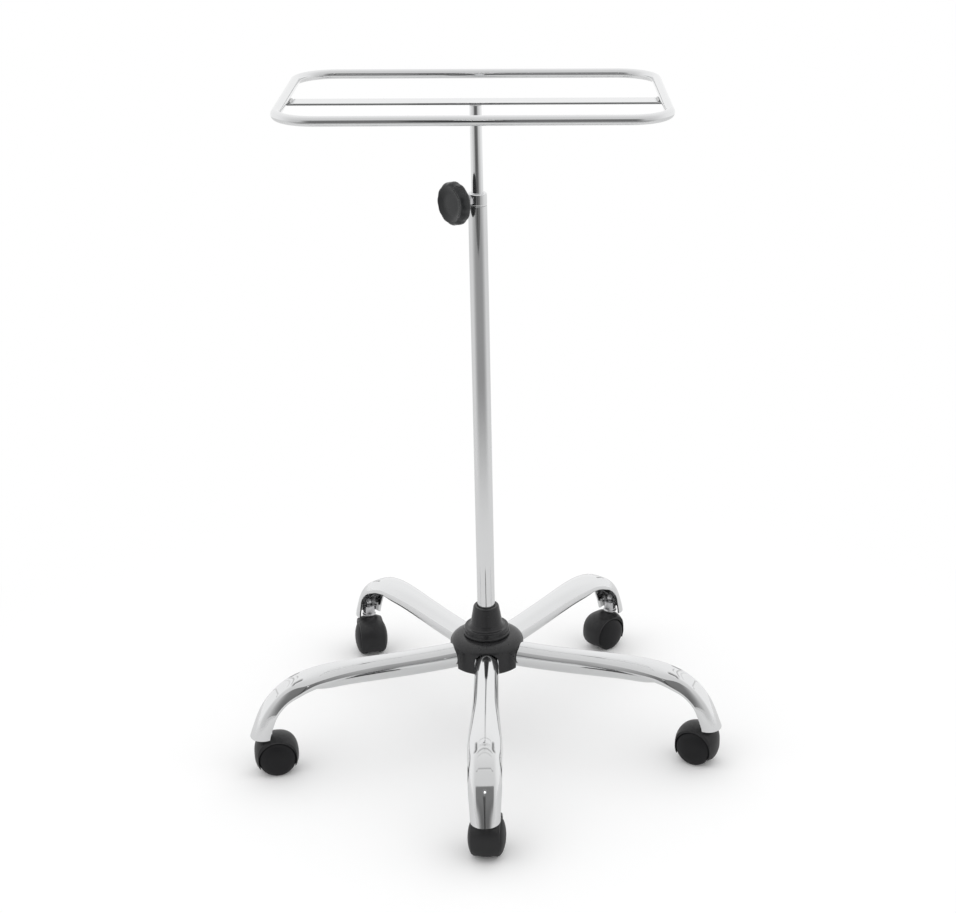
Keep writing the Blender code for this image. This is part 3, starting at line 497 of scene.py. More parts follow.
# %% [markdown]
# ## The welds of the frame
#
# The bar is welded to the ring on the inside of each crossing, and the mast is welded under
# the bar. A weld bead is a row of small frozen ripples, one for each dip of the rod. Noise
# alone would look like rust, so the ripples are a function along the bead.

# %% Lay the beads
WELD_BEAD = 1.8 * MM
WELD_TURN = math.radians(43)
WELD_HALF = BAR_HALF[1] - 3.5 * MM


def weld_bead(sign):
    """A half-buried rod whose radius swells and shrinks along it, and closes at its ends."""
    count = 120
    s = np.linspace(-1, 1, count)
    reach = FRAME_TUBE / 2 + 0.3 * MM + WELD_BEAD
    across = (ring_high[0] - ring_low[0] - FRAME_TUBE) / 2 - reach * math.cos(WELD_TURN)
    height = FRAME_HEIGHT - reach * math.sin(WELD_TURN)
    path = np.column_stack([np.full(count, sign * across), s * WELD_HALF, np.full(count, height)])
    ripple = 1 + 0.09 * np.abs(np.sin(11 * np.pi * s)) + 0.04 * np.sin(23.7 * s + sign)
    end = np.sqrt(np.clip(1 - s ** 8, 0, 1))
    grid = swept(path, circle(WELD_BEAD, 20))
    return path[:, None] + (grid - path[:, None]) * (0.92 * ripple * end)[:, None, None]


beads = shell("ring_weld_beads", *(weld_bead(sign) + AXIS for sign in (-1, 1)))
fit(beads, weld_metal, "cross_bar", replaces=False)

# %% [markdown]
# ## Mast, column and collar
#
# The mast slides in the column. Both are drawn tube, so they are lathe shapes with eased
# ends. The collar closes the top of the column: it is the same diameter, and only the thin
# dark joint under it and its turned edge show that it is a separate piece.

# %% Turn the tubes
MAST_RADIUS = 15.9 / 2 * MM
COLUMN_RADIUS = 12.7 * MM
TUBE_WALL = 1.5 * MM
mast_low, mast_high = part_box("mast")


def tube_profile(outer, bottom, top):
    """A pipe's section with its ends eased."""
    inner = outer - TUBE_WALL
    corners = [(outer, bottom), (outer, top), (inner, top), (inner, bottom)]
    return eased(corners, 0.35 * MM, closed=True, steps=3)


def turned(name, profile, sides=96, sharp=45):
    """A closed profile turned about the column's axis."""
    return shell(name, lathe(profile, sides) + AXIS, wrap_rows=True, sharp=sharp)


mast_line = tube_profile(MAST_RADIUS, mast_low.z, mast_high.z)
column_line = tube_profile(COLUMN_RADIUS, column_low.z, column_high.z)
fit(turned("mast_tube", mast_line, 64), column_chrome, "mast")
fit(turned("column_outer_tube", column_line), column_chrome, "column_tube")


# %% Ripple the weld under the bar
MAST_WELD = 2.6 * MM


def mast_weld(turns=17, sides=180, steps=12):
    """A fillet from the bar down to the mast whose foot swells in ripples round it."""
    angle = np.linspace(0, 2 * np.pi, sides, endpoint=False)
    t = np.linspace(0, 1, steps)[:, None]
    ripple = 1 + 0.10 * np.abs(np.sin(turns * angle / 2)) * np.sin(np.pi * t) ** 0.5
    flare = 3.0 * MM * (1 - np.sqrt(1 - (1 - t) ** 2)) * ripple
    radius = MAST_RADIUS + 0.05 * MM + flare
    height = mast_high.z - MAST_WELD * t * np.ones_like(angle)
    outside = np.stack([radius * np.cos(angle), radius * np.sin(angle), height], -1)
    inner = MAST_RADIUS - 0.3 * MM
    inside = lathe([(inner, mast_high.z - MAST_WELD), (inner, mast_high.z)], sides)
    return np.concatenate([outside, inside]) + AXIS


fit(shell("mast_weld_fillet", mast_weld(), wrap_rows=True), weld_metal, "mast", replaces=False)

# %% Turn the collar
collar_low, collar_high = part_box("column_collar")
COLLAR_BOTTOM = column_high.z + 0.3 * MM
BORE = MAST_RADIUS + 0.25 * MM


def collar_profile():
    """A ring with a bevelled top, a shallow turned line near its foot and a spigot below."""
    top, foot, outer = collar_high.z, COLLAR_BOTTOM, COLUMN_RADIUS
    spigot = COLUMN_RADIUS - 1.65 * MM
    return eased([
        (BORE + 1.2 * MM, top),
        (outer - 1.2 * MM, top),
        (outer, top - 1.2 * MM),
        (outer, foot + 2.0 * MM),
        (outer - 0.25 * MM, foot + 1.6 * MM),
        (outer, foot + 1.2 * MM),
        (outer, foot),
        (spigot, foot),
        (spigot, collar_low.z),
        (BORE, collar_low.z),
        (BORE, top - 1.2 * MM),
    ], 0.3 * MM, closed=True, steps=3)


collar = turned("column_end_collar", collar_profile())
fit(collar, chrome, "column_collar")

# %% [markdown]
# ## The clamp
#
# A hand knob with a moulded-in stud runs through a nut on the collar and presses a pad on
# the mast. The knob is one polar surface: rings run from the hub over the fluted rim into
# the dish, and each ring's radius dips between the flutes. The stud gets a real thread,
# because the stroke of the clamp follows from its pitch.

# %% The clamp's own frame
CLAMP_TURN = math.radians(-50)
CLAMP_X = (math.cos(CLAMP_TURN), math.sin(CLAMP_TURN), 0)
CLAMP_Z = (math.sin(CLAMP_TURN), -math.cos(CLAMP_TURN), 0)
CLAMP_ORIGIN = AXIS + (0, 0, COLLAR_BOTTOM + 8.25 * MM)
KNOB_BACK = 20.5 * MM


def on_clamp(points):
    """Takes a shape turned about +Z to the clamp screw's line, pointing out of the column."""
    return placed(points, CLAMP_ORIGIN, CLAMP_X, (0, 0, 1), CLAMP_Z)


# %% [markdown]
# The screw goes through the collar's wall, and its pad draws back into the same hole when the
# knob is loosened. A turned ring can't have a hole in its side, so this one is drilled: a rod
# on the screw's line is taken away from it.

# %% Drill the collar
SCREW_HOLE = 4.2 * MM


def drill(obj, drill_grid, sharp=45):
    """Takes a closed shape away from a piece and marks the new sharp edges."""
    rod = shell("drill", drill_grid)
    cut = obj.modifiers.new("drill", "BOOLEAN")
    cut.operation, cut.solver, cut.object = "DIFFERENCE", "EXACT", rod
    bpy.context.view_layer.update()
    made = obj.evaluated_get(bpy.context.evaluated_depsgraph_get())
    drilled = bpy.data.meshes.new_from_object(made)
    obj.modifiers.clear()
    obj.data = drilled
    obj.data.shade_smooth()
    obj.data.set_sharp_from_angle(angle=math.radians(sharp))
    bpy.data.objects.remove(rod)
    print(obj.name, "drilled:", len(obj.data.polygons), "faces")


near, far = MAST_RADIUS / 2, 2 * COLUMN_RADIUS
drill(collar, on_clamp(lathe([(0, near), (SCREW_HOLE, near), (SCREW_HOLE, far), (0, far)], 48)))


# %% The fluted knob
KNOB_LOBES = 12
FLUTE_DEPTH = 0.9 * MM
KNOB_SECTION = [
    (0.0, 0.0, 0.0, 0.0), (4.3, 0.0, 0.0, 0.0), (11.0, 0.0, 0.8, 0.0), (11.0, 12.0, 1.5, 0.0),
    (26.7, 12.0, 2.0, 0.6), (29.0, 15.0, 2.0, 1.0), (29.0, 21.8, 2.5, 1.0),
    (27.0, 25.6, 2.0, 0.85), (24.4, 27.0, 1.5, 0.4), (22.0, 25.6, 2.0, 0.0),
    (16.0, 22.8, 4.0, 0.0), (0.0, 23.2, 0.0, 0.0),
]


def share_along(line):
    """How far along a line each of its points lies, from 0 to 1."""
    run = np.r_[0, np.hypot(*np.diff(line, axis=0).T).cumsum()]
    return run / run[-1]


def knob_grid(sides=240):
    """Rings of radius r - depth·lobed·(½ - ½cos(lobes·a))^1.4, whose flutes fade inwards.

    Each row of the section is (radius, height, corner radius, how deep the flutes are there).
    """
    table = np.array(KNOB_SECTION)
    line = eased(table[:, :2] * MM, table[:, 2] * MM)
    lobed = np.interp(share_along(line), share_along(table[:, :2]), table[:, 3])
    angle = np.linspace(0, 2 * np.pi, sides, endpoint=False)
    dip = 0.5 - 0.5 * np.cos(KNOB_LOBES * angle)
    radius = line[:, :1] - FLUTE_DEPTH * lobed[:, None] * dip ** 1.4
    height = np.broadcast_to(line[:, 1:] + KNOB_BACK, radius.shape)
    return np.stack([radius * np.cos(angle), radius * np.sin(angle), height], -1)


fit(shell("hand_knob_fluted", on_clamp(knob_grid()), sharp=60), knob_plastic, "clamp_knob")


# %% The threaded stud
def stud_grid(pitch=1.25 * MM, sides=32):
    """A cylinder whose radius is a rounded saw of (height / pitch - turn), closed at both ends."""
    low, high = MAST_RADIUS + 2.6 * MM, KNOB_BACK + 19.7 * MM
    height = np.arange(low, high, pitch / 8)
    angle = np.linspace(0, 2 * np.pi, sides, endpoint=False)
    phase = (height[:, None] / pitch - angle / (2 * np.pi)) % 1
    radius = 3.3 * MM + 0.68 * MM * (1 - np.abs(2 * phase - 1)) ** 0.8
    radius *= 1 - 0.2 * smooth(low + 1.5 * MM, low, height)[:, None]
    flat = np.broadcast_to(height[:, None], radius.shape)
    side = np.stack([radius * np.cos(angle), radius * np.sin(angle), flat], -1)
    return np.concatenate([lathe([(0, low)], sides), side, lathe([(0, height[-1])], sides)])


fit(shell("clamp_stud", on_clamp(stud_grid()), sharp=60), zinc, "clamp_screw")


# %% The welded nut
def nut_grid(flats=13 * MM, thickness=6.5 * MM, bore=4.2 * MM):
    """A hexagon trimmed by a cone: its radius is the smaller of the hexagon's and the cone's."""
    start = COLUMN_RADIUS + 0.3 * MM
    angle = np.linspace(0, 2 * np.pi, 144, endpoint=False)
    hexagon = flats / 2 / np.cos((angle + np.pi / 6) % (np.pi / 3) - np.pi / 6)
    height = np.array([0, 0.02, 0.06, 0.10, 0.15, 0.5, 0.85, 0.90, 0.94, 0.98, 1]) * thickness
    edge = np.minimum(height, thickness - height)
    cone = flats / 2 * 1.02 + edge * 1.7
    radius = np.minimum(hexagon[None], cone[:, None])
    flat = np.broadcast_to(height[:, None] + start, radius.shape)
    side = np.stack([radius * np.cos(angle), radius * np.sin(angle), flat], -1)
    hole = lathe([(bore, start + thickness), (bore, start)], 144)
    return np.concatenate([side, hole])


fit(shell("clamp_hex_nut", on_clamp(nut_grid()), wrap_rows=True, sharp=30), zinc, "clamp_nut")

# %% [markdown]
# ## The boot on the column
#
# A stepped cone of black plastic covers the place where the column enters the hub: a
# flanged ring below, a waist with a flare and a cone with a rolled top edge. It is a lathe
# shape, and its rings of light in the photograph come from the rounded steps.

# %% Turn the boot
boot_low, boot_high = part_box("column_boot")
HOLE = COLUMN_RADIUS + 0.3 * MM


def boot_profile():
    """The boot's outline from the column down the outside, then back up its hollow inside."""
    foot, top = boot_low.z, boot_high.z
    step = foot + 12.5 * MM
    outer = [
        (HOLE, top - 0.8 * MM), (HOLE + 1.0 * MM, top), (17.4 * MM, top),
        (18.6 * MM, top - 2.0 * MM), (19.0 * MM, top - 4.5 * MM), (23.0 * MM, step + 5.0 * MM),
        (25.5 * MM, step + 0.9 * MM), (26.8 * MM, step), (31.4 * MM, step),
        (32.3 * MM, step - 2.2 * MM), (32.3 * MM, foot + 4.2 * MM), (33.3 * MM, foot + 3.1 * MM),
        (33.3 * MM, foot),
    ]
    inner = [
        (29.8 * MM, foot), (29.8 * MM, step - 2.5 * MM), (20.5 * MM, step - 2.5 * MM),
        (16.1 * MM, top - 2.5 * MM), (HOLE, top - 2.5 * MM),
    ]
    return eased(outer + inner, 0.9 * MM, closed=True)


fit(turned("column_boot_cone", boot_profile(), 128), cover_plastic, "column_boot")

# %% [markdown]
# ## The hub cover
#
# The bell over the hub has a flat top, a round shoulder and a wall cut by five arches, one
# for each leg. It could be cut with booleans, but then every arch edge is a ragged fan of
# triangles. Instead the grid's last row follows the cover's lower edge, up and over each
# arch, and the rows above blend from a plain circle into it. Every point stays on the bell.

# %% The cover's edge
LEG_STEP = 2 * math.pi / 5
COVER_RADIUS = 53 * MM
COVER_WALL = 2.5 * MM
COVER_EASE = 1.0 * MM
ARCH_HALF = 17.25 * MM
ARCH_TOP = 154.2 * MM
ARCH_POWER = 2.25
SIDE_POINTS, ROUND_POINTS, LEVEL_POINTS = 16, 44, 26
cover_low, cover_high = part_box("hub_cover")


def cover_edge(inset, margin):
    """The lower edge as (angle, height) on a wall this far in, a margin away from the openings.

    It runs level between the legs, up each arch's side and over its round, a superellipse. Its
    normal (-dz, du) always points into the plastic, so one formula moves it off edge and arch.
    """
    radius = COVER_RADIUS - inset
    spring = ARCH_TOP - ARCH_HALF
    turn = np.linspace(0, np.pi, ROUND_POINTS)[1:-1]
    out = np.sign(np.cos(turn)) * np.abs(np.cos(turn)) ** (2 / ARCH_POWER)
    across = np.r_[[-ARCH_HALF] * SIDE_POINTS, -ARCH_HALF * out, [ARCH_HALF] * SIDE_POINTS]
    side = np.linspace(cover_low.z, spring, SIDE_POINTS)
    height = np.r_[side, spring + ARCH_HALF * np.sin(turn) ** (2 / ARCH_POWER), side[::-1]]
    angle = np.arcsin(across / radius)
    level = np.linspace(angle[-1], LEG_STEP - angle[-1], LEVEL_POINTS)[1:-1]
    low = np.full(LEVEL_POINTS - 2, cover_low.z)
    one = np.column_stack([np.r_[angle, level], np.r_[height, low]])
    edge = np.concatenate([one + (index * LEG_STEP, 0) for index in range(5)])
    flat = edge * (radius, 1)
    ahead, behind = np.roll(flat, -1, 0), np.roll(flat, 1, 0)
    ahead[-1, 0] += 2 * np.pi * radius
    behind[0, 0] -= 2 * np.pi * radius
    first, second = flat - behind, ahead - flat
    first /= np.linalg.norm(first, axis=1, keepdims=True)
    second /= np.linalg.norm(second, axis=1, keepdims=True)
    normal = np.stack([-(first + second)[:, 1], (first + second)[:, 0]], -1)
    normal /= (normal ** 2).sum(1, keepdims=True) / 2
    return (flat + margin * normal) / (radius, 1)


def column_starts():
    """The angles where the columns start at the boot, fanned out so that no two of them cross."""
    edge = cover_edge(0, 0)[: 2 * SIDE_POINTS + ROUND_POINTS - 2, 0]
    half = SIDE_POINTS + ROUND_POINTS // 2 - 1
    fan = np.interp(np.arange(half), [0, SIDE_POINTS - 1, half - 1], [0.13, 0.012, 0.0])
    starts = edge + np.r_[-fan, fan[::-1]]
    level = np.linspace(starts[-1], LEG_STEP + starts[0], LEVEL_POINTS)[1:-1]
    one = np.r_[starts, level]
    return np.concatenate([one + index * LEG_STEP for index in range(5)])


# %% The bell itself
def bell_line(inset, count=400):
    """The bell's outline from the boot's hole down to its edge, moved inwards by an inset."""
    a = np.linspace(0, np.pi / 2, 60)
    shoulder = cover_high.z - 12 * MM
    r = np.r_[HOLE, 33 * MM + (COVER_RADIUS - 33 * MM) * np.sin(a), COVER_RADIUS]
    z = np.r_[cover_high.z, shoulder + 12 * MM * np.cos(a), cover_low.z]
    run = np.r_[0, np.hypot(np.diff(r), np.diff(z)).cumsum()]
    s = np.linspace(0, run[-1], count)
    r, z = np.interp(s, run, r), np.interp(s, run, z)
    slope = np.stack([np.gradient(r), np.gradient(z)])
    slope /= np.linalg.norm(slope, axis=0)
    slope[:, s < 19 * MM] = [[1.0], [0.0]]
    return r + inset * slope[1], z - inset * slope[0], z, s


def bell_rows(inset, margin, v):
    """Rows of the wall at this inset: column angles run from their starts to the edge as v²."""
    r, z, outline_z, s = bell_line(inset)
    edge = cover_edge(inset, margin)
    edge_run = np.interp(-edge[:, 1], -outline_z, s)
    starts = column_starts()
    v = np.atleast_1d(v)[:, None]
    angle = starts + (edge[:, 0] - starts) * v ** 2
    run = edge_run * v
    radius, height = np.interp(run, s, r), np.interp(run, s, z)
    return np.stack([radius * np.sin(angle), -radius * np.cos(angle), height], -1)


def bell_grid(rows=46):
    """Down the outside, round the eased edge and back up the inside of the wall."""
    v = 1 - (1 - np.linspace(0, 1, rows)) ** 1.3
    turn = np.linspace(0, np.pi / 2, 6)[1:]
    depth, away = COVER_EASE * (1 - np.cos(turn)), COVER_EASE * (1 - np.sin(turn))
    outer = [bell_rows(0, COVER_EASE, v)]
    outer += [bell_rows(d, a, 1.0) for d, a in zip(depth, away)]
    inner = [bell_rows(COVER_WALL - d, a, 1.0) for d, a in zip(depth[::-1], away[::-1])]
    inner += [bell_rows(COVER_WALL, COVER_EASE, v[::-1])]
    return np.concatenate(outer + inner) + AXIS


fit(shell("hub_bell_cover", bell_grid(), wrap_rows=True, sharp=60), cover_plastic, "hub_cover")

# %% [markdown]
# ## The legs
#
# Each leg starts as an upright oval tube. Half way out it is pressed: its underside is
# folded up into its crown, so that the tube becomes a broad open shell, which bends down
# over the castor. A sculpted mesh could match the look, but a loft keeps the five legs and
# the CAD in step: a crown line, a width and depth along it, and one section that blends
# from the oval to the shell. Each row of the table is (share of the way, width, depth).

# %% The leg's crown line and size
LEG_ROOT = np.array([24.3, 155.0]) * MM
LEG_TIP = np.array([351.7, 60.0]) * MM
LEG_PULLS = ((0.56, -0.12), (0.86, 0.37))
LEG_TABLE = np.array([
    (0.00, 33.5, 37.0), (0.10, 34.3, 36.7), (0.30, 35.8, 36.0), (0.50, 43.5, 32.5),
    (0.62, 47.0, 23.0), (0.75, 45.0, 16.0), (0.86, 45.0, 16.0), (1.00, 40.0, 24.0),
])


def crown(t):
    """The cubic Bezier curve from the hub to the tip, as (reach, height) pairs."""
    span, drop = LEG_TIP[0] - LEG_ROOT[0], LEG_ROOT[1] - LEG_TIP[1]
    first, second = (LEG_ROOT + (along * span, up * drop) for along, up in LEG_PULLS)
    t = np.asarray(t)[:, None]
    near = (1 - t) ** 3 * LEG_ROOT + 3 * t * (1 - t) ** 2 * first
    return near + 3 * t ** 2 * (1 - t) * second + t ** 3 * LEG_TIP


def leg_size(t, column):
    """Width or depth along the leg: the table's straight runs, averaged over a short stretch."""
    reach = np.linspace(-0.035, 0.035, 9)[:, None]
    at, value = LEG_TABLE[:, 0], LEG_TABLE[:, column]
    ends = smooth(0, 0.035, np.minimum(t, 1 - t))
    soft = np.interp(np.clip(t + reach, 0, 1), at, value).mean(0)
    return MM * (soft * ends + np.interp(t, at, value) * (1 - ends))


def leg_up(t):
    """The way to a section's crown: square to the line, upright at the hub, level at the tip."""
    along = np.gradient(crown(t), axis=0)
    square = np.stack([-along[:, 1], along[:, 0]], -1)
    square /= np.linalg.norm(square, axis=1, keepdims=True)
    start, end = smooth(0, 0.15, t)[:, None], smooth(0.85, 1, t)[:, None]
    up = np.array([0, 1]) * (1 - start) + square * start
    up = up * (1 - end) + np.array([1, 0]) * end
    return up / np.linalg.norm(up, axis=1, keepdims=True)


# %% [markdown]
# The press leaves its marks. Where the tube starts to flatten, two short creases run along
# the crown with small arched ripples between them, and beyond them the crown is a flat band
# with sloping flanks. They are written as bumps and dips over (t, s), where t runs along the
# leg and s across it from -1 to 1. They go into the mesh and not the material, because
# chrome shows every change of slope. The mesh also carries a mark for painted shade, which
# colours the creases dark.

# %% The marks of the press
PINCH = 0.625
PLATEAU = 0.50
RIPPLES = ((PINCH + 0.012, 0.004), (PINCH + 0.034, 0.004), (PINCH + 0.058, 0.005))
LOW_LINE = PINCH + 0.140


def hill(value, centre, width):
    """A bell curve of height 1: exp(-((value - centre) / width)²)."""
    return np.exp(-((value - centre) / width) ** 2)


def band(s):
    """A section with a nearly flat middle and flanks that curve down to the edges."""
    side = np.clip((np.abs(s) - PLATEAU) / (1 - PLATEAU), 0, 1)
    return 1 - 0.05 * np.minimum(np.abs(s) / PLATEAU, 1) ** 2 - 0.95 * side ** 1.7


def crease_line(t, s):
    """How near a point lies to the two creases, which hook outwards at their lower ends."""
    hook = 0.47 + 0.10 * smooth(PINCH + 0.035, PINCH + 0.06, t)
    length = smooth(PINCH - 0.012, PINCH + 0.004, t) * (1 - smooth(PINCH + 0.045, PINCH + 0.065, t))
    return hill(np.abs(s), hook, 0.055) * length


def ripple_line(t, s, at, width):
    """A thin groove across the crown's middle, bowed towards the hub."""
    bow = t - 0.035 * (s / 0.5) ** 2
    return hill(bow, at, width) * (1 - smooth(0.36, 0.46, np.abs(s)))


def low_line(t, s):
    """The last groove, nearly straight, whose ends bend away from the hub."""
    bow = t - 0.012 * smooth(0.36, 0.44, np.abs(s))
    return hill(bow, LOW_LINE, 0.0042) * (1 - smooth(0.47, 0.52, np.abs(s)))


def press_marks(t, s):
    """Height that the press adds: two creases, three grooves between them and one below."""
    first, second, third = (ripple_line(t, s, *ripple) for ripple in RIPPLES)
    grooves = 0.30 * first + 0.38 * second + 0.20 * third + 0.34 * low_line(t, s)
    return -MM * (1.2 * crease_line(t, s) + grooves)


def painted_press_shade(t, s):
    """Painted shade: dark in all of the creases, and faintly in the grooves."""
    first, third = ripple_line(t, s, *RIPPLES[0]), ripple_line(t, s, *RIPPLES[2])
    second = ripple_line(t, s, RIPPLES[1][0], 0.0045)
    across = 0.45 * (first * hill(s, 0, 0.16) + second) + 0.15 * third + 0.35 * low_line(t, s)
    return np.clip(0.95 * crease_line(t, s) + across, 0, 1)


# %% The leg's section and loft
PRESSED_WALL = 3.0 * MM
LIP = 0.08


def underside(half, rise, spring, press, across):
    """The section's lower half: an oval at press 0, the shell's lips and hollow at press 1."""
    u = np.linspace(0, 1, across + 2)[1:-1]
    oval = np.stack([half * np.cos(np.pi * u), spring - spring * np.sin(np.pi * u)], -1)
    inner = half - PRESSED_WALL
    turn = np.pi * np.clip((u - LIP) / (1 - 2 * LIP), 0, 1)
    first, last = np.clip(u / LIP, 0, 1), np.clip((u - 1 + LIP) / LIP, 0, 1)
    is_lip = (u < LIP) | (u > 1 - LIP)
    lips = np.where(u < 0.5, half - PRESSED_WALL * first, -inner - PRESSED_WALL * last)
    hollow_across = np.where(is_lip, lips, inner * np.cos(turn))
    hollow_up = spring * smooth(0, 0.15, first - last) + (rise - PRESSED_WALL) * np.sin(turn)
    hollow = np.stack([hollow_across, np.where(is_lip, 0, hollow_up)], -1)
    return oval * (1 - press[..., None]) + hollow * press[..., None], ~is_lip


def leg_grid(rows=220, across=90):
    """Closed sections along the leg, over the top and back underneath, and their marks.

    The hollow inside the shell is marked too, for painted shade.
    """
    pressed_rows = np.linspace(PINCH - 0.03, PINCH + 0.16, 150)
    t = np.unique(np.r_[np.linspace(0, 1, rows), pressed_rows])[:, None]
    width, depth = leg_size(t[:, 0], 1)[:, None], leg_size(t[:, 0], 2)[:, None]
    half = width / 2
    press = smooth(0.52, 0.78, t)
    rise = depth * (0.5 + 0.3 * press)
    spring = depth - rise
    s = -np.cos(np.linspace(0, np.pi, across))[None]
    flat = smooth(PINCH - 0.07, PINCH + 0.08, t) * (1 - smooth(0.865, 0.985, t))
    arch = np.sqrt(1 - s ** 2) * (1 - flat) + band(s) * flat
    top = np.stack([half * s, spring + rise * arch + press_marks(t, s)], -1)
    under, is_hollow = underside(half, rise, spring, press, across)
    section = np.concatenate([top, under], 1)
    # Painted shade: dark in the creases and grooves, and at 0.6 inside the hollow.
    mark = np.concatenate([painted_press_shade(t, s), 0.6 * press * is_hollow], 1)
    up = leg_up(t[:, 0])
    low = crown(t[:, 0]) - up * depth
    reach = low[:, :1] + up[:, :1] * section[..., 1]
    height = low[:, 1:] + up[:, 1:] * section[..., 1]
    return np.stack([section[..., 0], -reach, height], -1), mark


# %% Cast the five legs
SIDES = {"front": 0, "right": 1, "rear_right": 2, "rear_left": 3, "left": 4}


def turned_axes(angle):
    """The X and Y axes of a frame turned about +Z."""
    c, s = math.cos(angle), math.sin(angle)
    return (c, s, 0), (-s, c, 0)


def leg_frame(index):
    """The axes of a leg's frame, in which the leg points along -Y."""
    return turned_axes(index * LEG_STEP)


def close_ends(obj, sharp):
    """Fills the open ends of a piece with one face each."""
    caps = bmesh.new()
    caps.from_mesh(obj.data)
    rim = [edge for edge in caps.edges if edge.is_boundary]
    bmesh.ops.holes_fill(caps, edges=rim, sides=0)
    bmesh.ops.recalc_face_normals(caps, faces=caps.faces)
    caps.to_mesh(obj.data)
    caps.free()
    obj.data.set_sharp_from_angle(angle=math.radians(sharp))


leg_skin, leg_painted_shade = leg_grid()
for side, index in SIDES.items():
    x, y = leg_frame(index)
    leg = shell(side + "_pressed_leg", placed(leg_skin, AXIS, x, y), sharp=50, mark=leg_painted_shade)
    close_ends(leg, 50)
    fit(leg, pressed_chrome, side + "_leg")

# %% [markdown]
# ## Sockets and stems
#
# A turned socket with a flange is welded inside each leg's end and holds the castor's stem,
# whose round grip shows above it. From behind the rear legs they are the brightest things
# in the dark shells, so they get their chamfers and the grip ring's groove.

# %% Turn the sockets and stems
CASTOR_HEIGHT = 59.3 * MM
SOCKET_TOP = CASTOR_HEIGHT + 17 * MM
LUG_END = 15.5 * MM


def socket_grid():
    """A flanged ring with eased edges, turned about the stem's axis."""
    corners = np.array([(9.3, 17), (9.3, 3.4), (10.5, 2.4), (10.5, 0), (5.3, 0), (5.3, 17)]) * MM
    return lathe(eased(corners + (0, CASTOR_HEIGHT), 0.6 * MM, closed=True, steps=3), 64)


def lug_grid():
    """The lug from the socket to the leg's end, as a round-edged block."""
    section = eased(block(2.5 * MM, 4.5 * MM), 0.6 * MM, closed=True)
    reach = np.array([7.5 * MM, 8.5 * MM, 12 * MM, LUG_END - 0.6 * MM, LUG_END])
    scale = np.array([1, 1, 1, 1, 0.85])
    rows = np.zeros((len(reach), len(section), 3))
    rows[..., 0] = section[None, :, 0] * scale[:, None]
    rows[..., 1] = -reach[:, None]
    rows[..., 2] = section[None, :, 1] * scale[:, None] + CASTOR_HEIGHT + 9.5 * MM
    return capped(rows)


def stem_grid():
    """The stem's pin in the hood and the socket, and the ball with its neck above the socket."""
    ball, middle = 4.9 * MM, SOCKET_TOP + 5.2 * MM
    a = np.radians(np.linspace(-40, 90, 24))
    grip = np.column_stack([ball * np.cos(a), middle + ball * np.sin(a)])
    foot, neck = CASTOR_HEIGHT - 22 * MM, SOCKET_TOP - 2.5 * MM
    pin = [(0, foot), (5.0 * MM, foot), (5.0 * MM, neck), (4.0 * MM, SOCKET_TOP)]
    return lathe(np.concatenate([eased(pin, 0.5 * MM), grip]), 48)


for side, index in SIDES.items():
    place = (middle_of(side + "_castor_stem"), *leg_frame(index))
    socket = shell(side + "_stem_socket", placed(socket_grid(), *place), wrap_rows=True)
    lug = shell(side + "_socket_lug", placed(lug_grid(), *place), sharp=60)
    fit(socket, zinc, side + "_leg_socket")
    fit(lug, zinc, side + "_leg_socket", replaces=False)
    fit(shell(side + "_stem_pin", placed(stem_grid(), *place)), zinc, side + "_castor_stem")

# %% [markdown]
# ## The castors
#
# Each castor is a barrel-shaped hood over two domed wheels. The hood is one surface over
# (angle round the axle, place across): its radius shrinks towards its sides and is squared
# up over the stem. The wheels are turned, with a rounded tread and a shallow dome.

# %% The castor's sizes
WHEEL_RADIUS = 26.3 * MM
WHEEL_TREAD = 15 * MM
WHEEL_WIDTH = 25.5 * MM
WHEEL_TRAIL = 14.5 * MM
HOOD_RADIUS = 31.2 * MM
HOOD_WALL = 2.3 * MM
HOOD_HALF = 19 * MM
HOOD_CROWN = 4.0 * MM
HOOD_INNER_CROWN = 2.3 * MM
HOOD_SQUARE = 3.2
LIP_HEIGHT = 12.5 * MM
HEADINGS = {"front": -5, "right": 61, "rear_right": 130, "rear_left": 193, "left": -79}


def hood_radius(across, crown):
    """The hood's radius this far across, from -1 to 1, before its wall: it falls as |x|^2.2."""
    return HOOD_RADIUS - crown * np.abs(across) ** 2.2


def hood_stretch(angle):
    """The hood's radius over its plain one: a superellipse, squarest over the stem."""
    y, z = np.cos(angle), np.sin(angle)
    power = np.where(z > 0, np.where(y < 0, HOOD_SQUARE, 2.6), 2.0)
    upper = np.where(z > 0, CASTOR_HEIGHT - 0.3 * MM - WHEEL_RADIUS, HOOD_RADIUS) / HOOD_RADIUS
    return (np.abs(y) ** power + np.abs(z / upper) ** power) ** (-1 / power)


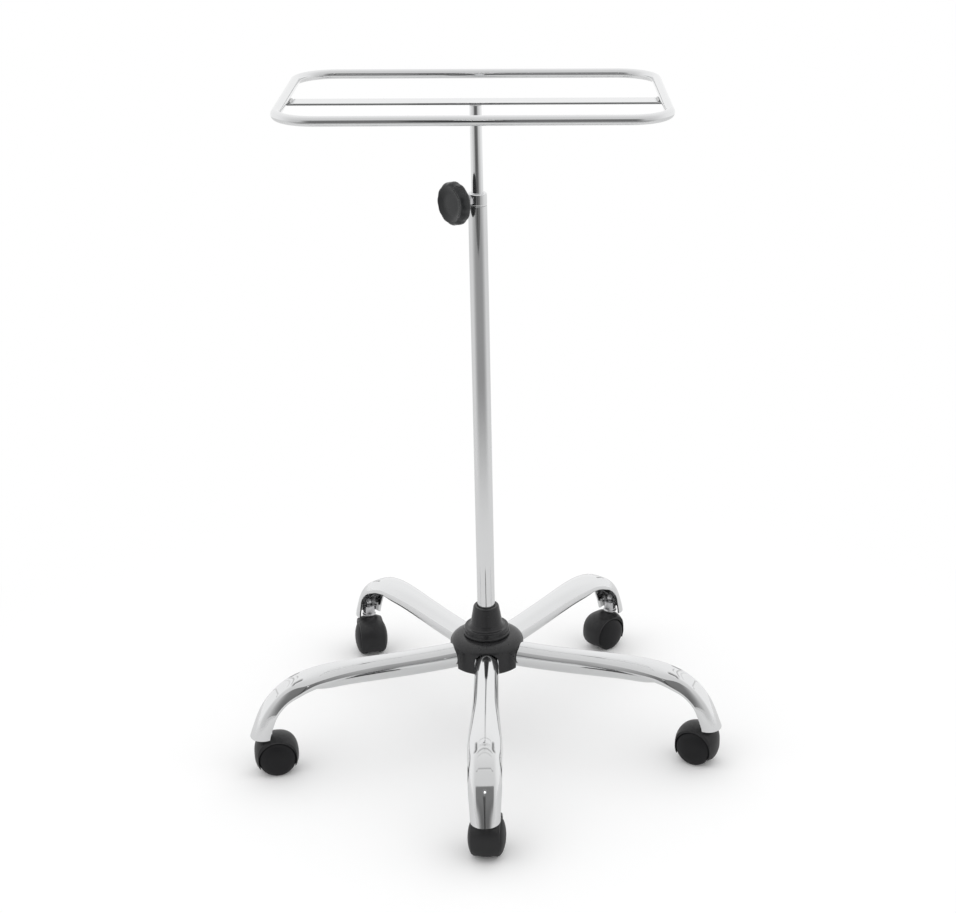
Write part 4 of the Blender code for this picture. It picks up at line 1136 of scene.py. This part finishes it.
# %% The hood
def hood_grid(count=150):
    """Closed sections across the hood, carried round the axle from lip to lip.

    Outside and inside both shrink towards the sides by crown·|x|^2.2, the outside by more.
    """
    low = math.asin((LIP_HEIGHT - WHEEL_RADIUS) / HOOD_RADIUS)
    angle = np.linspace(low, np.pi - low, count)
    across = np.linspace(-1, 1, 25)
    sideways = across * HOOD_HALF
    inside = np.column_stack([hood_radius(across, HOOD_INNER_CROWN) - HOOD_WALL, sideways])
    outside = np.column_stack([hood_radius(across, HOOD_CROWN), sideways])[::-1]
    ease = np.zeros(50)
    ease[[0, 24, 25, 49]] = 0.5 * MM
    section = eased(np.concatenate([inside, outside]), ease, closed=True, steps=3)
    middle = hood_radius(section[:, 1] / HOOD_HALF, (HOOD_CROWN + HOOD_INNER_CROWN) / 2)
    is_outer = section[:, 0] > middle - HOOD_WALL / 2
    stretch = 1 + (hood_stretch(angle)[:, None] - 1) * is_outer[None]
    radius = section[None, :, 0] * stretch
    sideways = np.broadcast_to(section[None, :, 1], radius.shape)
    y = radius * np.cos(angle)[:, None] + WHEEL_TRAIL
    z = radius * np.sin(angle)[:, None] + WHEEL_RADIUS
    return capped(np.stack([sideways, y, np.maximum(z, LIP_HEIGHT)], -1))


def web_grid():
    """The flat web between the wheels, filling the hood down to its lips."""
    low = math.asin((LIP_HEIGHT - WHEEL_RADIUS) / (HOOD_RADIUS - HOOD_WALL))
    angle = np.linspace(low, np.pi - low, 80)
    radius = HOOD_RADIUS - HOOD_WALL + 0.6 * MM
    height = np.maximum(radius * np.sin(angle) + WHEEL_RADIUS, LIP_HEIGHT)
    edge = np.column_stack([radius * np.cos(angle) + WHEEL_TRAIL, height])
    middle = edge.mean(0)
    rows = []
    for x, scale in ((-7.5, 0), (-7.5, 0.97), (-7.0, 1.0), (7.0, 1.0), (7.5, 0.97), (7.5, 0)):
        flat = middle + (edge - middle) * scale
        rows.append(np.column_stack([np.full(len(flat), x * MM), flat]))
    return np.stack(rows)


# %% The wheels
def wheel_profile():
    """(radius, distance from the castor's middle), from the dome over the tread to the inside."""
    part = np.sin(np.linspace(0, np.pi / 2, 28))
    bulge = (WHEEL_WIDTH - WHEEL_TREAD) * np.sqrt(1 - part ** 2)
    dome = np.column_stack([WHEEL_RADIUS * part, WHEEL_TREAD + bulge])
    inner = np.array([(26.3, 8.5), (3.3, 8.5), (3.3, 19.3), (0, 19.3)]) * MM
    ease = np.r_[np.zeros(len(dome)), np.array([1.5, 0.3, 0.3, 0]) * MM]
    return eased(np.concatenate([dome, inner]), ease)


def wheel_grid(hand):
    """The wheel turned about the axle, on one side of the castor."""
    turned = lathe(wheel_profile(), 96)
    return placed(turned, (0, WHEEL_TRAIL, WHEEL_RADIUS), (0, 1, 0), (0, 0, hand), (hand, 0, 0))


def axle_grid():
    """The pin through the web and both wheels."""
    pin = eased(np.array([(0, -19), (3, -19), (3, 19), (0, 19)]) * MM, 0.4 * MM, steps=3)
    return placed(lathe(pin, 32), (0, WHEEL_TRAIL, WHEEL_RADIUS), (0, 1, 0), (0, 0, 1), (1, 0, 0))


# %% Set the five castors
for side in SIDES:
    place = (middle_of(side + "_castor_stem"), *turned_axes(math.radians(HEADINGS[side])))
    hood = shell(side + "_hood_shell", placed(hood_grid(), *place), sharp=50)
    fit(hood, castor_plastic, side + "_castor_hood")
    web = shell(side + "_hood_web", placed(web_grid(), *place), sharp=50)
    fit(web, castor_plastic, side + "_castor_hood", replaces=False)
    for letter, hand in (("a", 1), ("b", -1)):
        wheel = shell(f"{side}_twin_wheel_{letter}", placed(wheel_grid(hand), *place), sharp=50)
        fit(wheel, wheel_plastic, f"{side}_castor_wheel_{letter}")
    fit(shell(side + "_axle_pin", placed(axle_grid(), *place)), zinc, side + "_castor_axle")

# %% [markdown]
# ## What stays hidden
#
# The hub block, the foot with its bolt and washer, the bush, the glide and the pad keep
# their CAD shape. They show only from below or when the stand is taken apart, but they
# still get real finishes.

# %% Finish the hidden nodes
def nylon_finish():
    """Natural nylon: off-white, a little waxy, with faint flow marks."""
    made, shader = new_finish("natural_nylon", (0.72, 0.70, 0.64), 0.0, 0.45)
    flow = spread(made, noise(made, 150, 3), 0, 1)
    drive(made, shader, "Base Color", mixed(made, flow, (0.68, 0.66, 0.60), (0.76, 0.74, 0.69)))
    drive(made, shader, "Roughness", spread(made, noise(made, 60, 2), 0.38, 0.52))
    return made


HIDDEN = {
    nylon_finish(): ("mast_glide", "guide_bush", "clamp_pad"),
    zinc: ("hub_core", "column_foot", "base_washer", "base_bolt"),
}
for finish, nodes in HIDDEN.items():
    for node in nodes:
        frame["nodes"][node].data.materials.clear()
        frame["nodes"][node].data.materials.append(finish)
    print(finish.name, "on", ", ".join(nodes))

# %% [markdown]
# ## The studio
#
# Chrome has no colour of its own to speak of, so the studio is half the material. In the
# photograph each tube shows a pale ceiling above, a duller floor below and a narrow dark
# band between them. The world gives the ceiling, the walls and the far floor to glossy rays
# only. The camera sees plain white, and matt surfaces get even light.

# %% Helpers for rooms and masks
def emptied(made):
    """A new material or world with no nodes left in it."""
    made.use_nodes = True
    made.node_tree.nodes.clear()
    return made


def sums(made, operation, *values):
    """The result of one Math node."""
    return add(made, "Math", *values, operation=operation).outputs[0]


def step(made, value, low, high, start=0.0, end=1.0):
    """A smoothstep of a value: start at low, end at high."""
    node = add(made, "MapRange", value, low, high, start, end, interpolation_type="SMOOTHSTEP")
    return node.outputs["Result"]


def blend(made, factor, first, second):
    """One number at factor 0 and another at factor 1: a(1 - f) + bf."""
    rest = sums(made, "MULTIPLY", first, sums(made, "SUBTRACT", 1.0, factor))
    return sums(made, "ADD", rest, sums(made, "MULTIPLY", second, factor))


def choose(made, factor, first, second):
    """One shader at factor 0 and another at factor 1."""
    return add(made, "MixShader", factor, first, second).outputs[0]


def split_xyz(made, output):
    """The three numbers of this kind of texture coordinate."""
    return add(made, "SeparateXYZ", add(made, "TexCoord").outputs[output]).outputs


# %% The world
def studio_world():
    """White to the camera, even grey light to matt surfaces, and a room to gloss."""
    world = emptied(bpy.data.worlds.new("studio"))
    x, y, z = split_xyz(world, "Generated")
    across, along = sums(world, "MULTIPLY", x, x), sums(world, "MULTIPLY", y, y)
    level = sums(world, "SQRT", sums(world, "ADD", across, along))
    ahead = sums(world, "MULTIPLY", y, -1.0)
    front = sums(world, "DIVIDE", ahead, sums(world, "MAXIMUM", level, 0.001))
    ceiling = step(world, ahead, -0.9, 0.7, 1.0, 0.73)
    sides = step(world, front, -0.5, 0.95, 0.98, 0.62)
    far_floor = step(world, front, 0.0, 0.95, 0.76, 0.33)
    walls = blend(world, step(world, z, 0.20, 0.66), sides, ceiling)
    room = blend(world, step(world, z, -0.20, -0.27), walls, far_floor)

    white = (1, 1, 1, 1)
    seen, studio, even = (
        add(world, "Background", white, strength).outputs[0] for strength in (1.0, room, 0.95)
    )
    ray = add(world, "LightPath").outputs
    by_gloss = choose(world, ray["Is Glossy Ray"], even, studio)
    plain = sums(world, "MAXIMUM", ray["Is Camera Ray"], ray["Is Transmission Ray"])
    add(world, "OutputWorld", choose(world, plain, by_gloss, seen))
    return world


bpy.context.scene.world = studio_world()

# %% [markdown]
# The floor is a pale round sheet. Near the stand it is a matt surface that takes the
# shadows, and further out it turns into the same white as the world, so the picture has no
# horizon. In the photograph the legs mirror it as a light grey, so gloss sees it duller.

# %% The floor
FLOOR_RADIUS = 2.4


def floor_material():
    """Matt near the stand, blending by distance into plain white, and for gloss into the world."""
    made = emptied(bpy.data.materials.new("studio_floor"))
    place = add(made, "TexCoord").outputs["Object"]
    distance = add(made, "VectorMath", place, operation="LENGTH").outputs["Value"]
    matt = add(made, "BsdfDiffuse", (0.95, 0.95, 0.95, 1)).outputs[0]
    duller = add(made, "BsdfDiffuse", (0.72, 0.72, 0.72, 1)).outputs[0]
    white = add(made, "Emission", (1, 1, 1, 1)).outputs[0]
    clear = add(made, "BsdfTransparent").outputs[0]
    seen = choose(made, step(made, distance, 0.40, 1.00), matt, white)
    mirrored = choose(made, step(made, distance, 0.60, 1.60), duller, clear)
    is_gloss = add(made, "LightPath").outputs["Is Glossy Ray"]
    add(made, "OutputMaterial", choose(made, is_gloss, seen, mirrored))
    return made


floor = shell("studio_floor", lathe([(0, 0), (0.4, 0), (1.0, 0), (FLOOR_RADIUS, 0)], 96))
for polygon in floor.data.polygons:
    if polygon.normal.z < 0:
        polygon.flip()
floor.data.materials.append(floor_material())
floor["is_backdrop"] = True

# %% [markdown]
# The dark band in the chrome is the unlit room behind the camera. Painted on the world it
# would sit at one height in every reflection, but in the photograph it reaches higher in the
# legs than in the tray frame, as a thing two or three metres away does. So it is a real
# board behind the camera, seen by glossy rays only. A darker upright strip in its middle is
# the camera on its stand, and the small bright disc is the lamp that makes the spark on the
# front leg.

# %% The dark side of the room
BOARD_DISTANCE = 2.65
BOARD_TOP = 2.35
BOARD_HALF = 2.6
LAMP_AT = (-0.05, 0, 1.80)


def board_material():
    """Dim emission by place on the board, clear towards its sides.

    All are smoothsteps: of |x| and z for the cover, the dimness and the strip, and of the
    distance from the lamp for the lamp.
    """
    made = emptied(bpy.data.materials.new("unlit_room"))
    place = add(made, "TexCoord").outputs["Object"]
    x, _, z = add(made, "SeparateXYZ", place).outputs
    aside = step(made, sums(made, "ABSOLUTE", x), 0.75, BOARD_HALF, 1.0, 0.0)
    cover = sums(made, "MULTIPLY", aside, step(made, z, BOARD_TOP - 0.10, BOARD_TOP, 1.0, 0.0))
    off = sums(made, "ABSOLUTE", sums(made, "ADD", x, 0.10))
    strip = step(made, off, 0.10, 0.16, 1.0, 0.0)
    strip = sums(made, "MULTIPLY", strip, step(made, z, 1.45, 1.60, 1.0, 0.0))
    dim = step(made, z, 0.4, 1.4, 0.15, 0.21)
    dim = sums(made, "SUBTRACT", dim, sums(made, "MULTIPLY", strip, 0.12))
    from_lamp = add(made, "VectorMath", place, LAMP_AT, operation="DISTANCE").outputs["Value"]
    strength = sums(made, "ADD", dim, step(made, from_lamp, 0.04, 0.08, 4.0, 0.0))
    glow = add(made, "Emission", (1, 1, 1, 1), strength).outputs[0]
    clear = add(made, "BsdfTransparent").outputs[0]
    add(made, "OutputMaterial", choose(made, cover, clear, glow))
    return made


board_x, board_z = np.meshgrid([-BOARD_HALF, 0.0, BOARD_HALF], [0.0, BOARD_TOP], indexing="ij")
board_grid = np.stack([board_x, np.zeros_like(board_x), board_z], -1)
board = shell("unlit_room", board_grid, wrap_columns=False)
board.location = AXIS + (0, -BOARD_DISTANCE, 0)
board.data.materials.append(board_material())
for sight in ("visible_camera", "visible_diffuse", "visible_transmission", "visible_shadow"):
    setattr(board, sight, False)
board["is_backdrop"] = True

# %% [markdown]
# Two large soft boxes stand to the left and right above the camera and one hangs behind, so
# the shadows under the castors stay short. Chrome would show them as white patches that the
# photograph doesn't have, so they are hidden from glossy rays.

# %% The lamps
def soft_box(name, position, target, size, power):
    """A rectangular area lamp that looks at a target and isn't mirrored."""
    lamp = bpy.data.lights.new(name, "AREA")
    lamp.shape = "RECTANGLE"
    lamp.size, lamp.size_y = size
    lamp.energy = power
    obj = bpy.data.objects.new(name, lamp)
    bpy.context.scene.collection.objects.link(obj)
    away = np.array(position, float) - target
    away /= np.linalg.norm(away)
    right = np.cross((0, 0, 1), away)
    right /= np.linalg.norm(right)
    turn = np.eye(4)
    turn[:3, :3] = np.column_stack([right, np.cross(away, right), away])
    turn[:3, 3] = position
    obj.matrix_world = Matrix(turn)
    obj.visible_glossy = False


soft_box("key_box", (-2.3, -1.2, 2.7), (0, 0, 0.4), (3.4, 2.8), 12)
soft_box("fill_box", (2.5, -0.9, 2.3), (0, 0, 0.4), (3.0, 2.4), 8)
soft_box("top_box", (0.1, 0.9, 3.2), (0, 0, 0.2), (3.6, 3.0), 8)

# %% [markdown]
# ## The camera
#
# The photograph was taken from chest height, looking down by 22 degrees with a portrait
# lens. The picture was cropped off centre, which the lens shift repeats.

# %% The camera
FOCAL_PIXELS = 1791.5
PHOTO_WIDTH = 956
CAMERA_FROM_COLUMN = (0.0502, -2.3286, 1.3842)
YAW, PITCH, ROLL = (math.radians(angle) for angle in (2.798, 22.108, 0.291))
CENTRE_PIXEL = 600
SHIFT_X = (PHOTO_WIDTH / 2 - CENTRE_PIXEL) / PHOTO_WIDTH


def camera_axes():
    """Right, up and back of the camera: yaw about Z, pitch down, then roll."""
    level = math.cos(PITCH)
    ahead = np.array([math.sin(YAW) * level, math.cos(YAW) * level, -math.sin(PITCH)])
    right = np.array([math.cos(YAW), -math.sin(YAW), 0])
    up = np.cross(right, ahead)
    c, s = math.cos(ROLL), math.sin(ROLL)
    return c * right + s * up, c * up - s * right, -ahead


lens = bpy.data.cameras.new("photo_camera")
lens.sensor_width = 36
lens.lens = 36 * FOCAL_PIXELS / PHOTO_WIDTH
lens.shift_x = SHIFT_X
camera = bpy.data.objects.new("photo_camera", lens)
bpy.context.scene.collection.objects.link(camera)
matrix = np.eye(4)
matrix[:3, :3] = np.column_stack(camera_axes())
matrix[:3, 3] = AXIS + CAMERA_FROM_COLUMN
camera.matrix_world = Matrix(matrix)
bpy.context.scene.camera = camera
bpy.context.scene.view_settings.view_transform = "Standard"
print("camera at", np.round(matrix[:3, 3], 3), "lens", round(lens.lens, 2), "mm")

# %% [markdown]
# ## The sizes, kept for comparison
#
# Both boxes, the CAD model's and the dressed stand's, are printed. The dressed stand may
# not be larger than the CAD model.

# %% Keep both boxes and finish
boxes = {"cad": cad_box, "visual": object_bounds()}
for name, box in boxes.items():
    print(name, [[round(1000 * value, 2) for value in corner] for corner in box])
